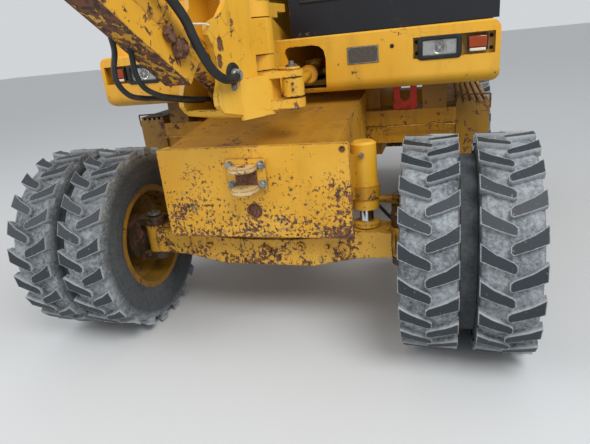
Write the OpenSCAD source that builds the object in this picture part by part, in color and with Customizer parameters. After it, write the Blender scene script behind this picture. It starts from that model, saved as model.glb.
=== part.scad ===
// Wheeled excavator with twin tyres and a swing-post boom, parked with its boom half raised.
// Millimetres. +X is forward, +Y is the machine's left, +Z is up. Z = 0 is the ground.

/* [Stance] */
// Slewing centre ahead of the origin
slew_x = -1130; // [-1300:10:-950]
// Front axle ahead of the slewing centre
front_axle_reach = 1200; // [1150:5:1250]
// Distance between the two axles
wheelbase = 2400; // [2350:5:2450]

/* [Wheels] */
// Outer radius of a tyre over its lugs, which is also the height of the axles
tyre_r = 478; // [465:1:490]
// Width of a tyre over its sidewalls
tyre_w = 235; // [225:1:240]
// Height of a lug
lug_h = 27; // [20:1:32]
// Lugs on each side of a tread
lug_n = 22; // [18:1:24]
// Middle of the inner tyre from the machine's centre line
inner_tyre_y = 770; // [765:1:780]
// Distance between the middles of twin tyres
twin_pitch = 292; // [280:1:300]
// Radius of the bead seat of a rim
rim_r = 254; // [250:1:258]
// Width of a rim between its flanges
rim_w = 180; // [170:1:185]
// Wheel nuts on a hub
nut_n = 10; // [8:1:12]

/* [Axles and steering] */
// Steering pivot from the machine's centre line
kingpin_y = 645; // [640:1:650]
// Diameter of a steering pivot
kingpin_d = 44; // [36:1:50]
// Length of a steering arm, from its pivot back to the tie rod
steer_arm = 200; // [190:1:210]
// Diameter of the tie rod
tie_rod_d = 38; // [30:1:44]
// Height of the tie rod
tie_rod_z = 612; // [605:1:620]
// Radius of an axle tube
axle_tube_r = 70; // [60:1:75]

/* [Chassis] */
// Half width of the frame's nose
nose_hw = 400; // [380:5:410]
// Front face of the end plate ahead of the front axle
plate_reach = 177; // [150:1:200]
// Half width of the end plate
plate_hw = 449; // [430:1:470]
// Bottom of the end plate
plate_z0 = 553; // [550:1:570]
// Top of the end plate
plate_z1 = 979; // [950:1:1000]
// Thickness of the end plate
plate_t = 25; // [16:1:40]
// Top of the frame under the slewing ring
deck_z = 1090; // [1070:1:1095]
// Diameter of an axle lock cylinder
lock_d = 112; // [90:1:120]
// Sideways place of an axle lock cylinder
lock_y = 482; // [478:1:486]
// Top of a step
step_z = 1012; // [980:1:1030]
// Front edge of a step behind the front axle
step_back = 660; // [655:1:700]
// Length of a step
step_len = 1080; // [900:10:1085]
// Outer side of a step
step_y = 1052; // [1000:1:1080]
// Width of a step
step_w = 168; // [150:1:180]
// Top of the cross boxes that carry the steps
cross_z = 974; // [960:1:985]
// Top of the wall along the inner side of a step
step_wall_z = 1105; // [1090:1:1108]

/* [Upper structure] */
// Bottom of the upper frame
upper_z = 1170; // [1160:1:1180]
// Top of the upper frame's floor
floor_z = 1400; // [1380:1:1420]
// Half width of the upper frame
upper_hw = 1050; // [1000:5:1060]
// Front face of the bumper ahead of the slewing centre
bumper_reach = 804; // [780:1:830]
// Rear end of the upper structure behind the slewing centre
tail_reach = 1640; // [1550:5:1700]
// Thickness of sheet metal
sheet_t = 12; // [8:1:16]
// Top of the engine hood
hood_z = 2010; // [1900:10:2100]

/* [Cab] */
// Inner side of the cab from the machine's centre line
cab_y0 = 78; // [70:1:90]
// Outer side of the cab from the machine's centre line
cab_y1 = 1060; // [1040:1:1065]
// Front of the cab ahead of the slewing centre
cab_reach = 780; // [760:1:790]
// Length of the cab
cab_len = 1530; // [1400:10:1550]
// Top of the cab walls
cab_z1 = 2880; // [2800:10:2950]
// Thickness of a cab wall
cab_wall = 45; // [35:1:60]
// Thickness of a window pane
glass_t = 6; // [4:1:8]

/* [Swing post] */
// Swing pivot ahead of the front axle
swing_fwd = 30; // [20:1:40]
// Swing pivot from the machine's centre line
swing_y = 33; // [25:1:40]
// Angle of the boom to the machine, positive to the left
rest_swing = -15; // [-20:1:-10]
// Diameter of the swing pin
swing_pin_d = 80; // [60:1:90]
// Outer width over the two cheeks of the post
post_w = 200; // [190:2:220]
// Thickness of a cheek
cheek_t = 24; // [18:1:26]

/* [Boom and arm] */
// Diameter of the main pins
pin_d = 60; // [50:1:65]
// Outer diameter of a boom cylinder
boom_cyl_d = 140; // [120:1:145]
// Outer diameter of the other working cylinders
arm_cyl_d = 110; // [95:1:115]
// Diameter of a piston rod
rod_d = 60; // [50:1:65]
// Width of the boom
boom_w = 180; // [160:2:190]
// Width of the arm
arm_w = 150; // [130:2:160]
// Width of the bucket
bucket_w = 640; // [500:10:800]
// Depth of the bucket, from its pin to its cutting edge
bucket_deep = 870; // [800:10:950]
// Thickness of a bucket side plate
bucket_t = 16; // [12:1:20]

/* [Blade] */
// Face of the blade behind the rear axle
blade_reach = 700; // [660:5:740]
// Height of the blade's hinge
blade_hinge_z = 470; // [450:5:480]
// Width of the blade
blade_w = 2360; // [2200:10:2380]
// Height of the blade
blade_h = 470; // [400:5:500]
// Bottom of the raised blade above the ground
blade_z = 230; // [200:5:260]

/* [Hidden] */
$fn = 48;

// Colours of the finishes
yellow = "#e6ab20";
dark = "#2a2b2c";
rubber = "#3c4248";
steel = "#b9bcc0";
red = "#b3261c";

// Running clearance of a shaft in its bore, and of one face beside another that turns
fit_gap = 0.4;
side_gap = 5;

// Places of the axles
front_x = slew_x + front_axle_reach;
rear_x = front_x - wheelbase;
axle_z = tyre_r;
outer_tyre_y = inner_tyre_y + twin_pitch;
mid_y = inner_tyre_y + twin_pitch / 2;

// Inner side of a step
step_in_y = step_y - step_w;

// Pivot line of the swing post
swing_x = front_x + swing_fwd;

// Boom plane: [distance ahead of the swing pin, height] at rest
boom_foot = [190, 1740];
boom_cyl_foot = [215, 1220];
boom_cyl_angle = 40;
boom_cyl_len = 1450;
boom_cyl_head = boom_cyl_foot + boom_cyl_len * [cos(boom_cyl_angle), sin(boom_cyl_angle)];
boom_tip = [2880, 2720];
arm_cyl_foot = [1350, 2895];
arm_tail_len = 430;
arm_tail = boom_tip + arm_tail_len * [cos(80), sin(80)];
// The arm hangs down and a little back from the boom's tip
arm_len = 1650;
arm_lean = 10;
arm_out = [cos(arm_lean), -sin(arm_lean)];
arm_up = [sin(arm_lean), cos(arm_lean)];
bucket_pin = boom_tip - arm_len * arm_up;
// Bucket linkage: [outwards, up] from the bucket pin, along the arm
rocker_foot_at = [-30, 310];
rocker_len = 280;
rocker_angle = 2;
link_pin_len = 232;
link_pin_angle = -8;
bucket_cyl_foot_at = [165, arm_len - 250];
function on_arm(p) = bucket_pin + p[0] * arm_out + p[1] * arm_up;
function polar(r, a) = r * [cos(a), sin(a)];
rocker_foot = on_arm(rocker_foot_at);
rocker_head = on_arm(rocker_foot_at + polar(rocker_len, rocker_angle));
link_pin = on_arm(polar(link_pin_len, link_pin_angle));
bucket_cyl_foot = on_arm(bucket_cyl_foot_at);

// Swing cylinder, in the ground plane
swing_lever = [front_x + 130, 225];
swing_cyl_foot = [slew_x + 200, 55];
swing_cyl_z = 1212;

// Blade linkage: [x, z]
rear_plate_x = rear_x - plate_reach;
blade_pivot = [rear_plate_x - 20, blade_hinge_z];
blade_face_x = rear_x - blade_reach;
blade_cyl_foot = [rear_plate_x - 50, 910];
blade_cyl_head = [blade_face_x + 90, 530];
blade_cyl_y = 180;
blade_arm_y = 330;

// Basic shapes

// A plate whose outline is [x, z] points, from y0 to y1
module slab_xz(points, y0, y1) {
    translate([0, y1, 0]) rotate([90, 0, 0]) linear_extrude(y1 - y0) polygon(points);
}

// A plate whose outline is [y, z] points, from x0 to x1
module slab_yz(points, x0, x1) {
    translate([x0, 0, 0]) rotate([90, 0, 90]) linear_extrude(x1 - x0) polygon(points);
}

// A box given by its two opposite corners
module block(low, high) {
    translate(low) cube(high - low);
}

// Round bars along X and Y, centred on y or starting at x
module bar_x(x, y, z, r, len) {
    translate([x, y, z]) rotate([0, 90, 0]) cylinder(h = len, r = r);
}
module bar_y(x, y, z, r, len) {
    translate([x, y - len / 2, z]) rotate([-90, 0, 0]) cylinder(h = len, r = r);
}

// A flat rectangle with round corners, centred
module round_rect(w, h, r) {
    square([w - 2 * r, h], center = true);
    square([w, h - 2 * r], center = true);
    for (i = [-1, 1], j = [-1, 1]) translate([i * (w / 2 - r), j * (h / 2 - r)]) circle(r);
}

// A plate across X with round corners, centred on y and z
module round_plate(x0, x1, y, z, w, h, r) {
    translate([x0, y, z]) rotate([90, 0, 90]) linear_extrude(x1 - x0) round_rect(w, h, r);
}

// Both sides of the machine
module both_sides() {
    children();
    mirror([0, 1, 0]) children();
}

// The boom's plane, turned about the swing pin
module in_boom_plane() {
    translate([swing_x, swing_y, 0]) rotate([0, 0, rest_swing]) children();
}

// Local X runs from point a towards point b, both [x, z]
module from_to(a, b) {
    translate([a[0], 0, a[1]]) rotate([0, -atan2(b[1] - a[1], b[0] - a[0]), 0]) children();
}

// Barrel of a hydraulic cylinder: its eye is at the origin, its tube runs from x = neck to x = len
module hyd_barrel(len, d, eye_d, eye_w, bore_d, rod, neck) {
    difference() {
        union() {
            bar_y(0, 0, 0, eye_d / 2, eye_w);
            bar_x(eye_d * 0.3, 0, 0, eye_w * 0.42, neck - eye_d * 0.3 + 1);
            bar_x(neck, 0, 0, d / 2, len - neck);
            bar_x(len - 70, 0, 0, d / 2 + 7, 55);
        }
        bar_y(0, 0, 0, bore_d / 2 + fit_gap, eye_w + 2);
        bar_x(neck + 30, 0, 0, rod / 2 + fit_gap, len);
    }
}

// Piston rod: its eye is at x = reach and its inner end at x = start
module hyd_rod(start, reach, rod, eye_d, eye_w, bore_d) {
    difference() {
        union() {
            bar_x(start, 0, 0, rod / 2, reach - start - eye_d * 0.3);
            bar_y(reach, 0, 0, eye_d / 2, eye_w);
        }
        bar_y(reach, 0, 0, bore_d / 2 + fit_gap, eye_w + 2);
    }
}

// Chassis

// Sloping nose over an axle, from x_plate (end plate) to x_mid, as [x, z]
module nose(x_plate, x_mid, dir) {
    slab_xz([
        [x_plate, plate_z0 + 75], [x_plate, plate_z1 - 2], [x_mid + dir * 300, deck_z - 28],
        [x_mid, deck_z], [x_mid, deck_z - 330], [x_mid + dir * 330, deck_z - 360],
        [x_mid + dir * 480, plate_z0 + 105]
    ], -nose_hw, nose_hw);
}

module chassis_frame() {
    color(yellow) {
        nose(front_x + plate_reach - plate_t, slew_x + 420, 1);
        nose(rear_plate_x + plate_t, slew_x - 420, -1);
        // Trunnion that the front axle rocks in, and the seats of the rear axle
        difference() {
            slab_yz([[-130, 720], [130, 720], [105, 400], [60, 372], [-60, 372], [-105, 400]],
                    front_x - 325, front_x - 285);
            bar_x(front_x - 326, 0, 455, 60 + fit_gap, 42);
        }
        both_sides() block([rear_x - 75, 265, pad_z], [rear_x + 75, 375, 720]);
        // Middle of the frame with its belly plate
        block([slew_x - 420, -470, 700], [slew_x + 420, 470, deck_z]);
        block([slew_x - 600, -330, 640], [slew_x + 600, 330, 700]);
        // Cross boxes that carry the steps
        both_sides() {
            block([front_x - step_back - 150, nose_hw - 20, 790], [front_x - step_back - 12, step_in_y, 890]);
            block([front_x - step_back - 190, nose_hw - 20, 890], [front_x - step_back, step_in_y, cross_z]);
            block([rear_x + step_back, nose_hw - 20, 790], [rear_x + step_back + 150, step_in_y, cross_z]);
        }
        // Collars that hold the axle lock cylinders
        both_sides() difference() {
            union() {
                translate([front_x, lock_y, 690]) cylinder(h = 60, r = lock_d / 2 + 9);
                block([front_x - 50, nose_hw - 20, 690], [front_x + 50, lock_y - 30, 900]);
            }
            translate([front_x, lock_y, 650]) cylinder(h = 400, r = lock_d / 2 + 0.3);
        }
        // Rear end plate and the brackets of the blade
        round_plate(rear_plate_x, rear_plate_x + plate_t, 0, (plate_z0 + plate_z1) / 2,
                    2 * plate_hw, plate_z1 - plate_z0, 12);
        for (side = [-1, 1], j = [-1, 1]) {
            y = side * blade_arm_y + j * 42;
            difference() {
                union() {
                    slab_xz([
                        [rear_plate_x + plate_t, 560], [rear_plate_x + plate_t, 700], [rear_plate_x, 700],
                        [blade_pivot[0] - 38, blade_pivot[1] + 10], [blade_pivot[0] + 38, blade_pivot[1] + 10]
                    ], y - 10, y + 10);
                    bar_y(blade_pivot[0], y, blade_pivot[1], 40, 20);
                }
                bar_y(blade_pivot[0], y, blade_pivot[1], 20, 30);
            }
        }
        // Ears of the blade cylinders
        for (side = [-1, 1], j = [-1, 1]) {
            y = side * blade_cyl_y + j * 43;
            difference() {
                union() {
                    slab_xz([
                        [rear_plate_x, 850], [rear_plate_x, 975], [blade_cyl_foot[0], blade_cyl_foot[1] + 34],
                        [blade_cyl_foot[0], blade_cyl_foot[1] - 34]
                    ], y - 8, y + 8);
                    bar_y(blade_cyl_foot[0], y, blade_cyl_foot[1], 34, 16);
                }
                bar_y(blade_cyl_foot[0], y, blade_cyl_foot[1], 15, 30);
            }
        }
    }
    // Pins of the blade's arms and of its cylinders
    color(steel) for (side = [-1, 1]) {
        bar_y(blade_pivot[0], side * blade_arm_y, blade_pivot[1], 19.7, 116);
        bar_y(blade_cyl_foot[0], side * blade_cyl_y, blade_cyl_foot[1], 14.7, 114);
    }
}

module front_plate() {
    x1 = front_x + plate_reach;
    color(yellow) difference() {
        round_plate(x1 - plate_t, x1, 0, (plate_z0 + plate_z1) / 2,
                    2 * plate_hw, plate_z1 - plate_z0, 12);
        // Round hole under the tow jaw and a small one at the top corner
        bar_x(x1 - plate_t - 1, 0, 681, 36, plate_t + 2);
        bar_x(x1 - plate_t - 1, 420, 952, 13, plate_t + 2);
    }
}

// Coupling jaw with its upright pin hole
tow_y = -11;
tow_z = 846;
tow_r = 58;
tow_h = 116;
module tow_jaw() {
    x = front_x + plate_reach;
    color(yellow) difference() {
        union() {
            round_plate(x, x + 16, tow_y, tow_z + 12, 190, 146, 10);
            for (z = [tow_z - tow_h / 2, tow_z + tow_h / 2 - 20]) {
                block([x + 10, tow_y - tow_r, z], [x + 60, tow_y + tow_r, z + 20]);
                translate([x + 60, tow_y, z]) cylinder(h = 20, r = tow_r);
            }
        }
        translate([x + 60, tow_y, tow_z - 100]) cylinder(h = 200, r = 16);
    }
}

// Steps with the tool boxes under them
module steps() {
    x1 = front_x - step_back;
    x0 = x1 - step_len;
    y0 = step_in_y;
    color(yellow) both_sides() {
        difference() {
            slab_xz([[x0, 640], [x0, step_z - 14], [x1, step_z - 14], [x1, 700], [x1 - 60, 640]], y0, step_y);
            block([x0 + 60, step_y - 6, 700], [x1 - 80, step_y + 1, step_z - 60]);
        }
        // Ridges of the tread
        for (i = [0:4]) block([x0, y0 + 6 + i * 34, step_z - 14], [x1, y0 + 22 + i * 34, step_z]);
        // Raised wall on the inner side, standing on the cross boxes
        block([x0, y0 - 175, cross_z + 0.3], [x1 - 2, y0 - 47, step_wall_z]);
        block([x0, y0 - 60, cross_z + 0.3], [x1 - 60, y0 + 10, step_z - 14]);
    }
}

module lock_barrels() {
    color(yellow) both_sides() translate([front_x, lock_y, 0]) difference() {
        union() {
            translate([0, 0, 648]) cylinder(h = 290, r = lock_d / 2);
            translate([0, 0, 936]) cylinder(h = 12, r1 = lock_d / 2, r2 = lock_d / 2 - 12);
            translate([0, 0, 640]) cylinder(h = 48, r = lock_d / 2 + 3);
            bar_x(lock_d / 2 - 8, 0, 900, 14, 18);
        }
        translate([0, 0, 600]) cylinder(h = 250, r = 33);
    }
}

module lock_rods() {
    color(steel) both_sides() translate([front_x, lock_y, axle_z + axle_tube_r + 0.3]) cylinder(h = 259, r = 32.5);
}

// Oscillating front axle: a cast beam with its drive housing and the steering pivots' bosses
module front_axle() {
    color(yellow) translate([front_x, 0, 0]) {
        difference() {
            union() {
                slab_yz([
                    [-600, 422], [-600, 540], [-540, 547], [-420, 547], [-400, 520], [-100, 500],
                    [100, 500], [400, 520], [420, 547], [540, 547], [600, 540], [600, 422],
                    [440, 412], [225, 366], [-225, 366], [-440, 412]
                ], -70, 80);
                bar_y(0, 0, axle_z, axle_tube_r, 2 * (kingpin_y - 30));
                both_sides() translate([0, kingpin_y, 405]) cylinder(h = 146, r = 54);
            }
            both_sides() translate([0, kingpin_y, 300]) cylinder(h = 400, r = kingpin_d / 2 + fit_gap);
        }
        // Pivot and pad bosses on the front face
        bar_x(80, -10, 441, 32, 14);
        bar_x(80, 172, 467, 22, 8);
        // Drive housing behind the beam
        bar_x(-270, 0, 455, 110, 200);
        bar_x(-330, 0, 455, 60, 60);
        bar_y(-150, 0, 455, 120, 190);
    }
}

// Top of the rear axle's seats
pad_z = 633;

// Rigid rear axle with hub carriers, drop gearbox and the shaft to the front axle
module rear_axle() {
    color(dark) translate([rear_x, 0, 0]) {
        bar_y(0, 0, axle_z, 78, 2 * (inner_tyre_y - 80));
        bar_y(0, 0, axle_z, 135, 240);
        bar_x(0, 0, axle_z, 110, 190);
        both_sides() {
            bar_y(0, kingpin_y + 70, axle_z, 128, 90);
            bar_y(0, kingpin_y + 193, axle_z, 50, 166);
            block([-70, 270, axle_z], [70, 370, pad_z]);
        }
        // Gearbox and shaft
        block([150, -150, 380], [360, 150, 640]);
        bar_x(360, 0, 455, 50, 60);
        bar_x(400, 0, 455, 32, wheelbase - 400 - 330);
    }
}

module steering_cylinder() {
    x = front_x - steer_arm;
    color(dark) {
        difference() {
            bar_y(x, 0, tie_rod_z, 38, 420);
            bar_y(x, 0, tie_rod_z, tie_rod_d / 2 + fit_gap, 430);
        }
        both_sides() block([x, 120, 440], [front_x - 70, 150, 590]);
    }
}

// Fork that the swing lock pin drops into
module lock_fork() {
    x = front_x - step_back - 20;
    color(red) difference() {
        block([x - 16, 555, cross_z + 0.3], [x, 680, 1112]);
        block([x - 17, 590, 1045], [x + 1, 645, 1113]);
        bar_x(x - 17, 617.5, 1045, 27.5, 18);
    }
}

module slew_ring() {
    color(dark) translate([slew_x, 0, deck_z]) difference() {
        cylinder(h = 38, r = 440);
        translate([0, 0, -1]) cylinder(h = 42, r = 330);
    }
}

// Wheels

// Knuckle of the machine's left: yoke over the axle's boss, hub carrier, spindle and steering arm
module knuckle() {
    top = 551 + side_gap;
    low = 405 - side_gap;
    color(yellow) difference() {
        union() {
            for (z = [top, low - 36]) {
                translate([0, kingpin_y, z]) cylinder(h = 36, r = 52);
                block([-52, kingpin_y, z], [52, 722, z + 36]);
            }
            block([-70, 716, low - 36], [70, 740, top + 36]);
            // Steering arm
            block([-steer_arm, 585, 560 + 0], [-40, 625, 586]);
            block([-70, 600, top], [-30, kingpin_y, top + 30]);
            translate([-steer_arm, 605, 560]) cylinder(h = 26, r = 30);
        }
    }
    color(yellow) for (z = [[top - 60, 60], [low - 36, 96]])
        translate([0, kingpin_y, z[0]]) cylinder(h = z[1], r = kingpin_d / 2);
    color(dark) {
        bar_y(0, 770, axle_z, 125, 60);
        bar_y(0, mid_y - 60, axle_z, 50, 130);
    }
}

module knuckle_left() {
    translate([front_x, 0, 0]) knuckle();
}

module knuckle_right() {
    mirror([0, 1, 0]) knuckle_left();
}

module tie_rod() {
    x = front_x - steer_arm;
    color(yellow) {
        bar_y(x, 0, tie_rod_z, tie_rod_d / 2, 2 * 560);
        both_sides() translate([x, 605, tie_rod_z - 20.5]) {
            cylinder(h = 44, r = 27);
            translate([0, -62, 20.5]) rotate([-90, 0, 0]) cylinder(h = 50, r = 22);
        }
    }
}

// Rim section as [radius, distance from its middle], with the disc at the side of the other twin
function rim_section() = [
    [rim_r + 23, -rim_w / 2 - 8], [rim_r + 23, -rim_w / 2], [rim_r, -rim_w / 2], [rim_r, rim_w / 2],
    [rim_r + 23, rim_w / 2], [rim_r + 23, rim_w / 2 + 8], [rim_r - 10, rim_w / 2 + 8],
    [170, twin_pitch / 2 - 1], [90, twin_pitch / 2 - 1], [90, twin_pitch / 2 - 17],
    [160, twin_pitch / 2 - 17], [205, rim_w / 2 - 30], [rim_r - 14, 10], [rim_r - 8, -rim_w / 2 - 8]
];

// Twin rims, hub and nuts, with the wheel's middle at the origin and its outer side towards +Y
module twin_rims() {
    color(yellow) rotate([-90, 0, 0]) {
        for (side = [[-twin_pitch / 2, 0], [twin_pitch / 2, 1]])
            translate([0, 0, side[0]]) mirror([0, 0, side[1]])
                rotate_extrude($fn = 64) polygon(rim_section());
    }
    color(dark) {
        // Hub with its planetary cover
        difference() {
            union() {
                bar_y(0, 0, 0, 89, 60);
                bar_y(0, 87, 0, 132, 114);
                bar_y(0, 154, 0, 100, 20);
                bar_y(0, 0, 0, 165, 2);
            }
            bar_y(0, -30, 0, 50 + fit_gap, 90);
        }
        for (i = [0:nut_n - 1]) rotate([0, i * 360 / nut_n, 0]) bar_y(149, 29, 0, 13, 26);
    }
}

// Tyre section as [radius, distance from its middle]
function tyre_section() = let (h = tyre_w / 2, base = tyre_r - lug_h) [
    [rim_r + 0.3, -rim_w / 2 + 0.3], [rim_r + 23.3, -rim_w / 2 + 0.3], [rim_r + 23.3, -rim_w / 2 - 9],
    [rim_r + 50, -h + 6], [rim_r + 95, -h],
    [base - 55, -h + 4], [base - 12, -h + 14], [base, -h + 34],
    [base, h - 34], [base - 12, h - 14], [base - 55, h - 4],
    [rim_r + 95, h], [rim_r + 50, h - 6],
    [rim_r + 23.3, rim_w / 2 + 9], [rim_r + 23.3, rim_w / 2 - 0.3], [rim_r + 0.3, rim_w / 2 - 0.3]
];

// Lug outline as [around, across]: broad at the shoulder, drawn back and narrower at the middle
lug_points = [[-45, -112], [-10, -64], [21, 0], [33, 12], [56, 12], [64, 2], [46, -50], [20, -112]];
// Height of a lug's flat top, so that its far corner lies on the tyre's outer circle
lug_top = sqrt(tyre_r ^ 2 - lug_points[5][0] ^ 2);

module tyre() {
    color(rubber) {
        rotate_extrude($fn = 48) polygon(tyre_section());
        for (side = [0, 1], i = [0:lug_n - 1]) mirror([0, 0, side])
            rotate([0, 0, (i + side / 2) * 360 / lug_n])
                translate([tyre_r - lug_h - 14, 0, 0]) rotate([90, 0, 90])
                    linear_extrude(lug_top - tyre_r + lug_h + 14) polygon(lug_points);
    }
}

module twin_tyres() {
    rotate([-90, 0, 0]) for (y = [-twin_pitch / 2, twin_pitch / 2]) translate([0, 0, y]) tyre();
    // Band that keeps stones out from between the twins
    gap = (twin_pitch - tyre_w) / 2;
    color(dark) rotate([-90, 0, 0]) rotate_extrude($fn = 48) polygon([
        [rim_r + 46, -gap - 1.5], [rim_r + 95, -gap + 0.3], [rim_r + 134, -gap - 1.5],
        [rim_r + 134, gap + 1.5], [rim_r + 95, gap - 0.3], [rim_r + 46, gap + 1.5]
    ]);
}

// [x, side] of each twin wheel: front left, front right, rear left, rear right
module at_wheel(x, side) {
    translate([x, side * mid_y, axle_z]) mirror([0, side < 0 ? 1 : 0, 0]) children();
}

module rims_fl() at_wheel(front_x, 1) twin_rims();
module rims_fr() at_wheel(front_x, -1) twin_rims();
module rims_rl() at_wheel(rear_x, 1) twin_rims();
module rims_rr() at_wheel(rear_x, -1) twin_rims();
module tyres_fl() at_wheel(front_x, 1) twin_tyres();
module tyres_fr() at_wheel(front_x, -1) twin_tyres();
module tyres_rl() at_wheel(rear_x, 1) twin_tyres();
module tyres_rr() at_wheel(rear_x, -1) twin_tyres();

// Blade

module blade() {
    x = blade_face_x;
    z = blade_z;
    color(yellow) difference() {
        union() {
            // Curved skin with its cutting edge
            slab_xz([
                [x, z], [x - 26, z], [x - 10, z + 110], [x + 4, z + 230], [x - 4, z + 360],
                [x - 34, z + blade_h], [x - 14, z + blade_h], [x + 20, z + 370], [x + 30, z + 230], [x + 18, z + 100]
            ], -blade_w / 2, blade_w / 2);
            // Stiffener and end ribs behind the skin
            block([x + 12, -blade_w / 2 + 60, z + 130], [x + 48, blade_w / 2 - 60, z + 250]);
            for (y = [-blade_w / 2 + 4, blade_w / 2 - 16])
                slab_xz([[x + 4, z + 10], [x - 10, z + blade_h - 20], [x + 70, z + 300], [x + 70, z + 120]], y, y + 12);
            // Push arms
            for (side = [-1, 1]) {
                y = side * blade_arm_y;
                slab_xz([
                    [x + 20, z + 60], [x + 20, z + 330], [blade_pivot[0] - 40, blade_pivot[1] + 34],
                    [blade_pivot[0], blade_pivot[1] + 34], [blade_pivot[0], blade_pivot[1] - 34],
                    [blade_pivot[0] - 60, blade_pivot[1] - 40]
                ], y - 26, y + 26);
                bar_y(blade_pivot[0], y, blade_pivot[1], 38, 52);
            }
            // Ears of the cylinders
            for (side = [-1, 1], j = [-1, 1]) {
                y = side * blade_cyl_y + j * 44;
                slab_xz([
                    [x + 20, z + 200], [x + 4, z + 380], [blade_cyl_head[0] + 6, blade_cyl_head[1] + 36],
                    [blade_cyl_head[0] + 34, blade_cyl_head[1]], [blade_cyl_head[0] + 6, blade_cyl_head[1] - 36]
                ], y - 8, y + 8);
            }
        }
        for (side = [-1, 1]) {
            bar_y(blade_pivot[0], side * blade_arm_y, blade_pivot[1], 19.7 + fit_gap, 80);
            bar_y(blade_cyl_head[0], side * blade_cyl_y, blade_cyl_head[1], 15, 120);
        }
    }
}

module blade_barrels() {
    for (y = [-blade_cyl_y, blade_cyl_y]) translate([0, y, 0]) color(yellow)
        from_to(blade_cyl_foot, blade_cyl_head) hyd_barrel(400, 80, 64, 60, 29.4, 40, 60);
}

module blade_rods() {
    len = norm(blade_cyl_head - blade_cyl_foot);
    for (y = [-blade_cyl_y, blade_cyl_y]) translate([0, y, 0]) color(steel)
        from_to(blade_cyl_foot, blade_cyl_head) hyd_rod(130, len, 40, 60, 60, 30);
}

// Upper structure

// Bottom plate of the upper frame
belly_t = 11.5;
// Foot ears of the swing cylinder
swing_ear_t = 20;
// Girders that run forward to the swing bracket: their sides, thickness and outline drawn out by d
girder_ys = [swing_y - 145, swing_y - 63];
girder_t = 25;
frame_x0 = slew_x - tail_reach + 380;
frame_x1 = slew_x + bumper_reach - 120.3;
function girder_outline(d) = [
    [frame_x0, upper_z - d], [frame_x0, floor_z - 5 + d], [slew_x + 500, floor_z - 5 + d],
    [swing_x - 260, 1560 + d], [swing_x - 90, 1560 + d], [swing_x - 90, 1290 - d],
    [swing_x - 330, 1290 - d], [frame_x1, upper_z - d]
];
module upper_frame() {
    x1 = frame_x1;
    x0 = frame_x0;
    color(yellow) difference() {
        union() {
            // Bottom plate, skirts and deck
            block([x0, -upper_hw + 10, upper_z], [x1, upper_hw - 10, upper_z + belly_t]);
            both_sides() block([x0, upper_hw - 22, upper_z], [x1, upper_hw - 10, floor_z]);
            block([x0, -upper_hw + 10, floor_z - sheet_t], [slew_x - 300, upper_hw - 10, floor_z]);
            block([x0, -upper_hw + 10, floor_z - sheet_t], [x1, -150, floor_z]);
            block([x0, 80, floor_z - sheet_t], [x1, upper_hw - 10, floor_z]);
            block([x0, -upper_hw + 10, upper_z], [x0 + sheet_t, upper_hw - 10, floor_z]);
            for (y = girder_ys) slab_xz(girder_outline(0), y, y + girder_t);
            block([swing_x - 330, swing_y - 145, 1520], [swing_x - 80, swing_y + 60, 1555]);
            // Lugs of the swing pin
            for (z = [[1285, 60], [1495, 60]]) {
                translate([swing_x, swing_y, z[0]]) cylinder(h = z[1], r = 88);
                block([swing_x - 200, swing_y - 88, z[0]], [swing_x, swing_y + 60, z[0] + z[1]]);
            }
            // Ear over the foot of the swing cylinder, on its girder
            translate([0, 0, swing_cyl_z + 30.3]) linear_extrude(swing_ear_t) {
                translate(swing_cyl_foot) circle(42);
                translate([swing_cyl_foot[0] - 42, swing_y - 40]) square([84, swing_cyl_foot[1] - swing_y + 40]);
            }
            // Neck on the slewing ring
            translate([slew_x, 0, deck_z + 38.3]) cylinder(h = upper_z - deck_z - 38, r = 440);
        }
        translate([swing_x, swing_y, 1200]) cylinder(h = 400, r = swing_pin_d / 2 + fit_gap);
        translate([slew_x, 0, deck_z]) cylinder(h = 78, r = 330);
        // Slot for the swing cylinder, and the hole of its pin
        translate([0, 0, upper_z - 14]) linear_extrude(belly_t + 15) polygon([
            [swing_cyl_foot[0] + 44, swing_cyl_foot[1] - 56], [x1 + 1, 50], [x1 + 1, 245],
            [swing_cyl_foot[0] + 44, swing_cyl_foot[1] + 60]
        ]);
        translate([swing_cyl_foot[0], swing_cyl_foot[1], upper_z - 1]) cylinder(h = 120, r = 17);
    }
    color(steel) translate([swing_cyl_foot[0], swing_cyl_foot[1], upper_z]) cylinder(h = 98, r = 16.7);
    // Rest of the swing lock pin, drawn up out of its fork
    color(dark) translate([front_x - step_back - 28, 617.5, 1118]) cylinder(h = upper_z - 1118, r = 19);
}

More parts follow.
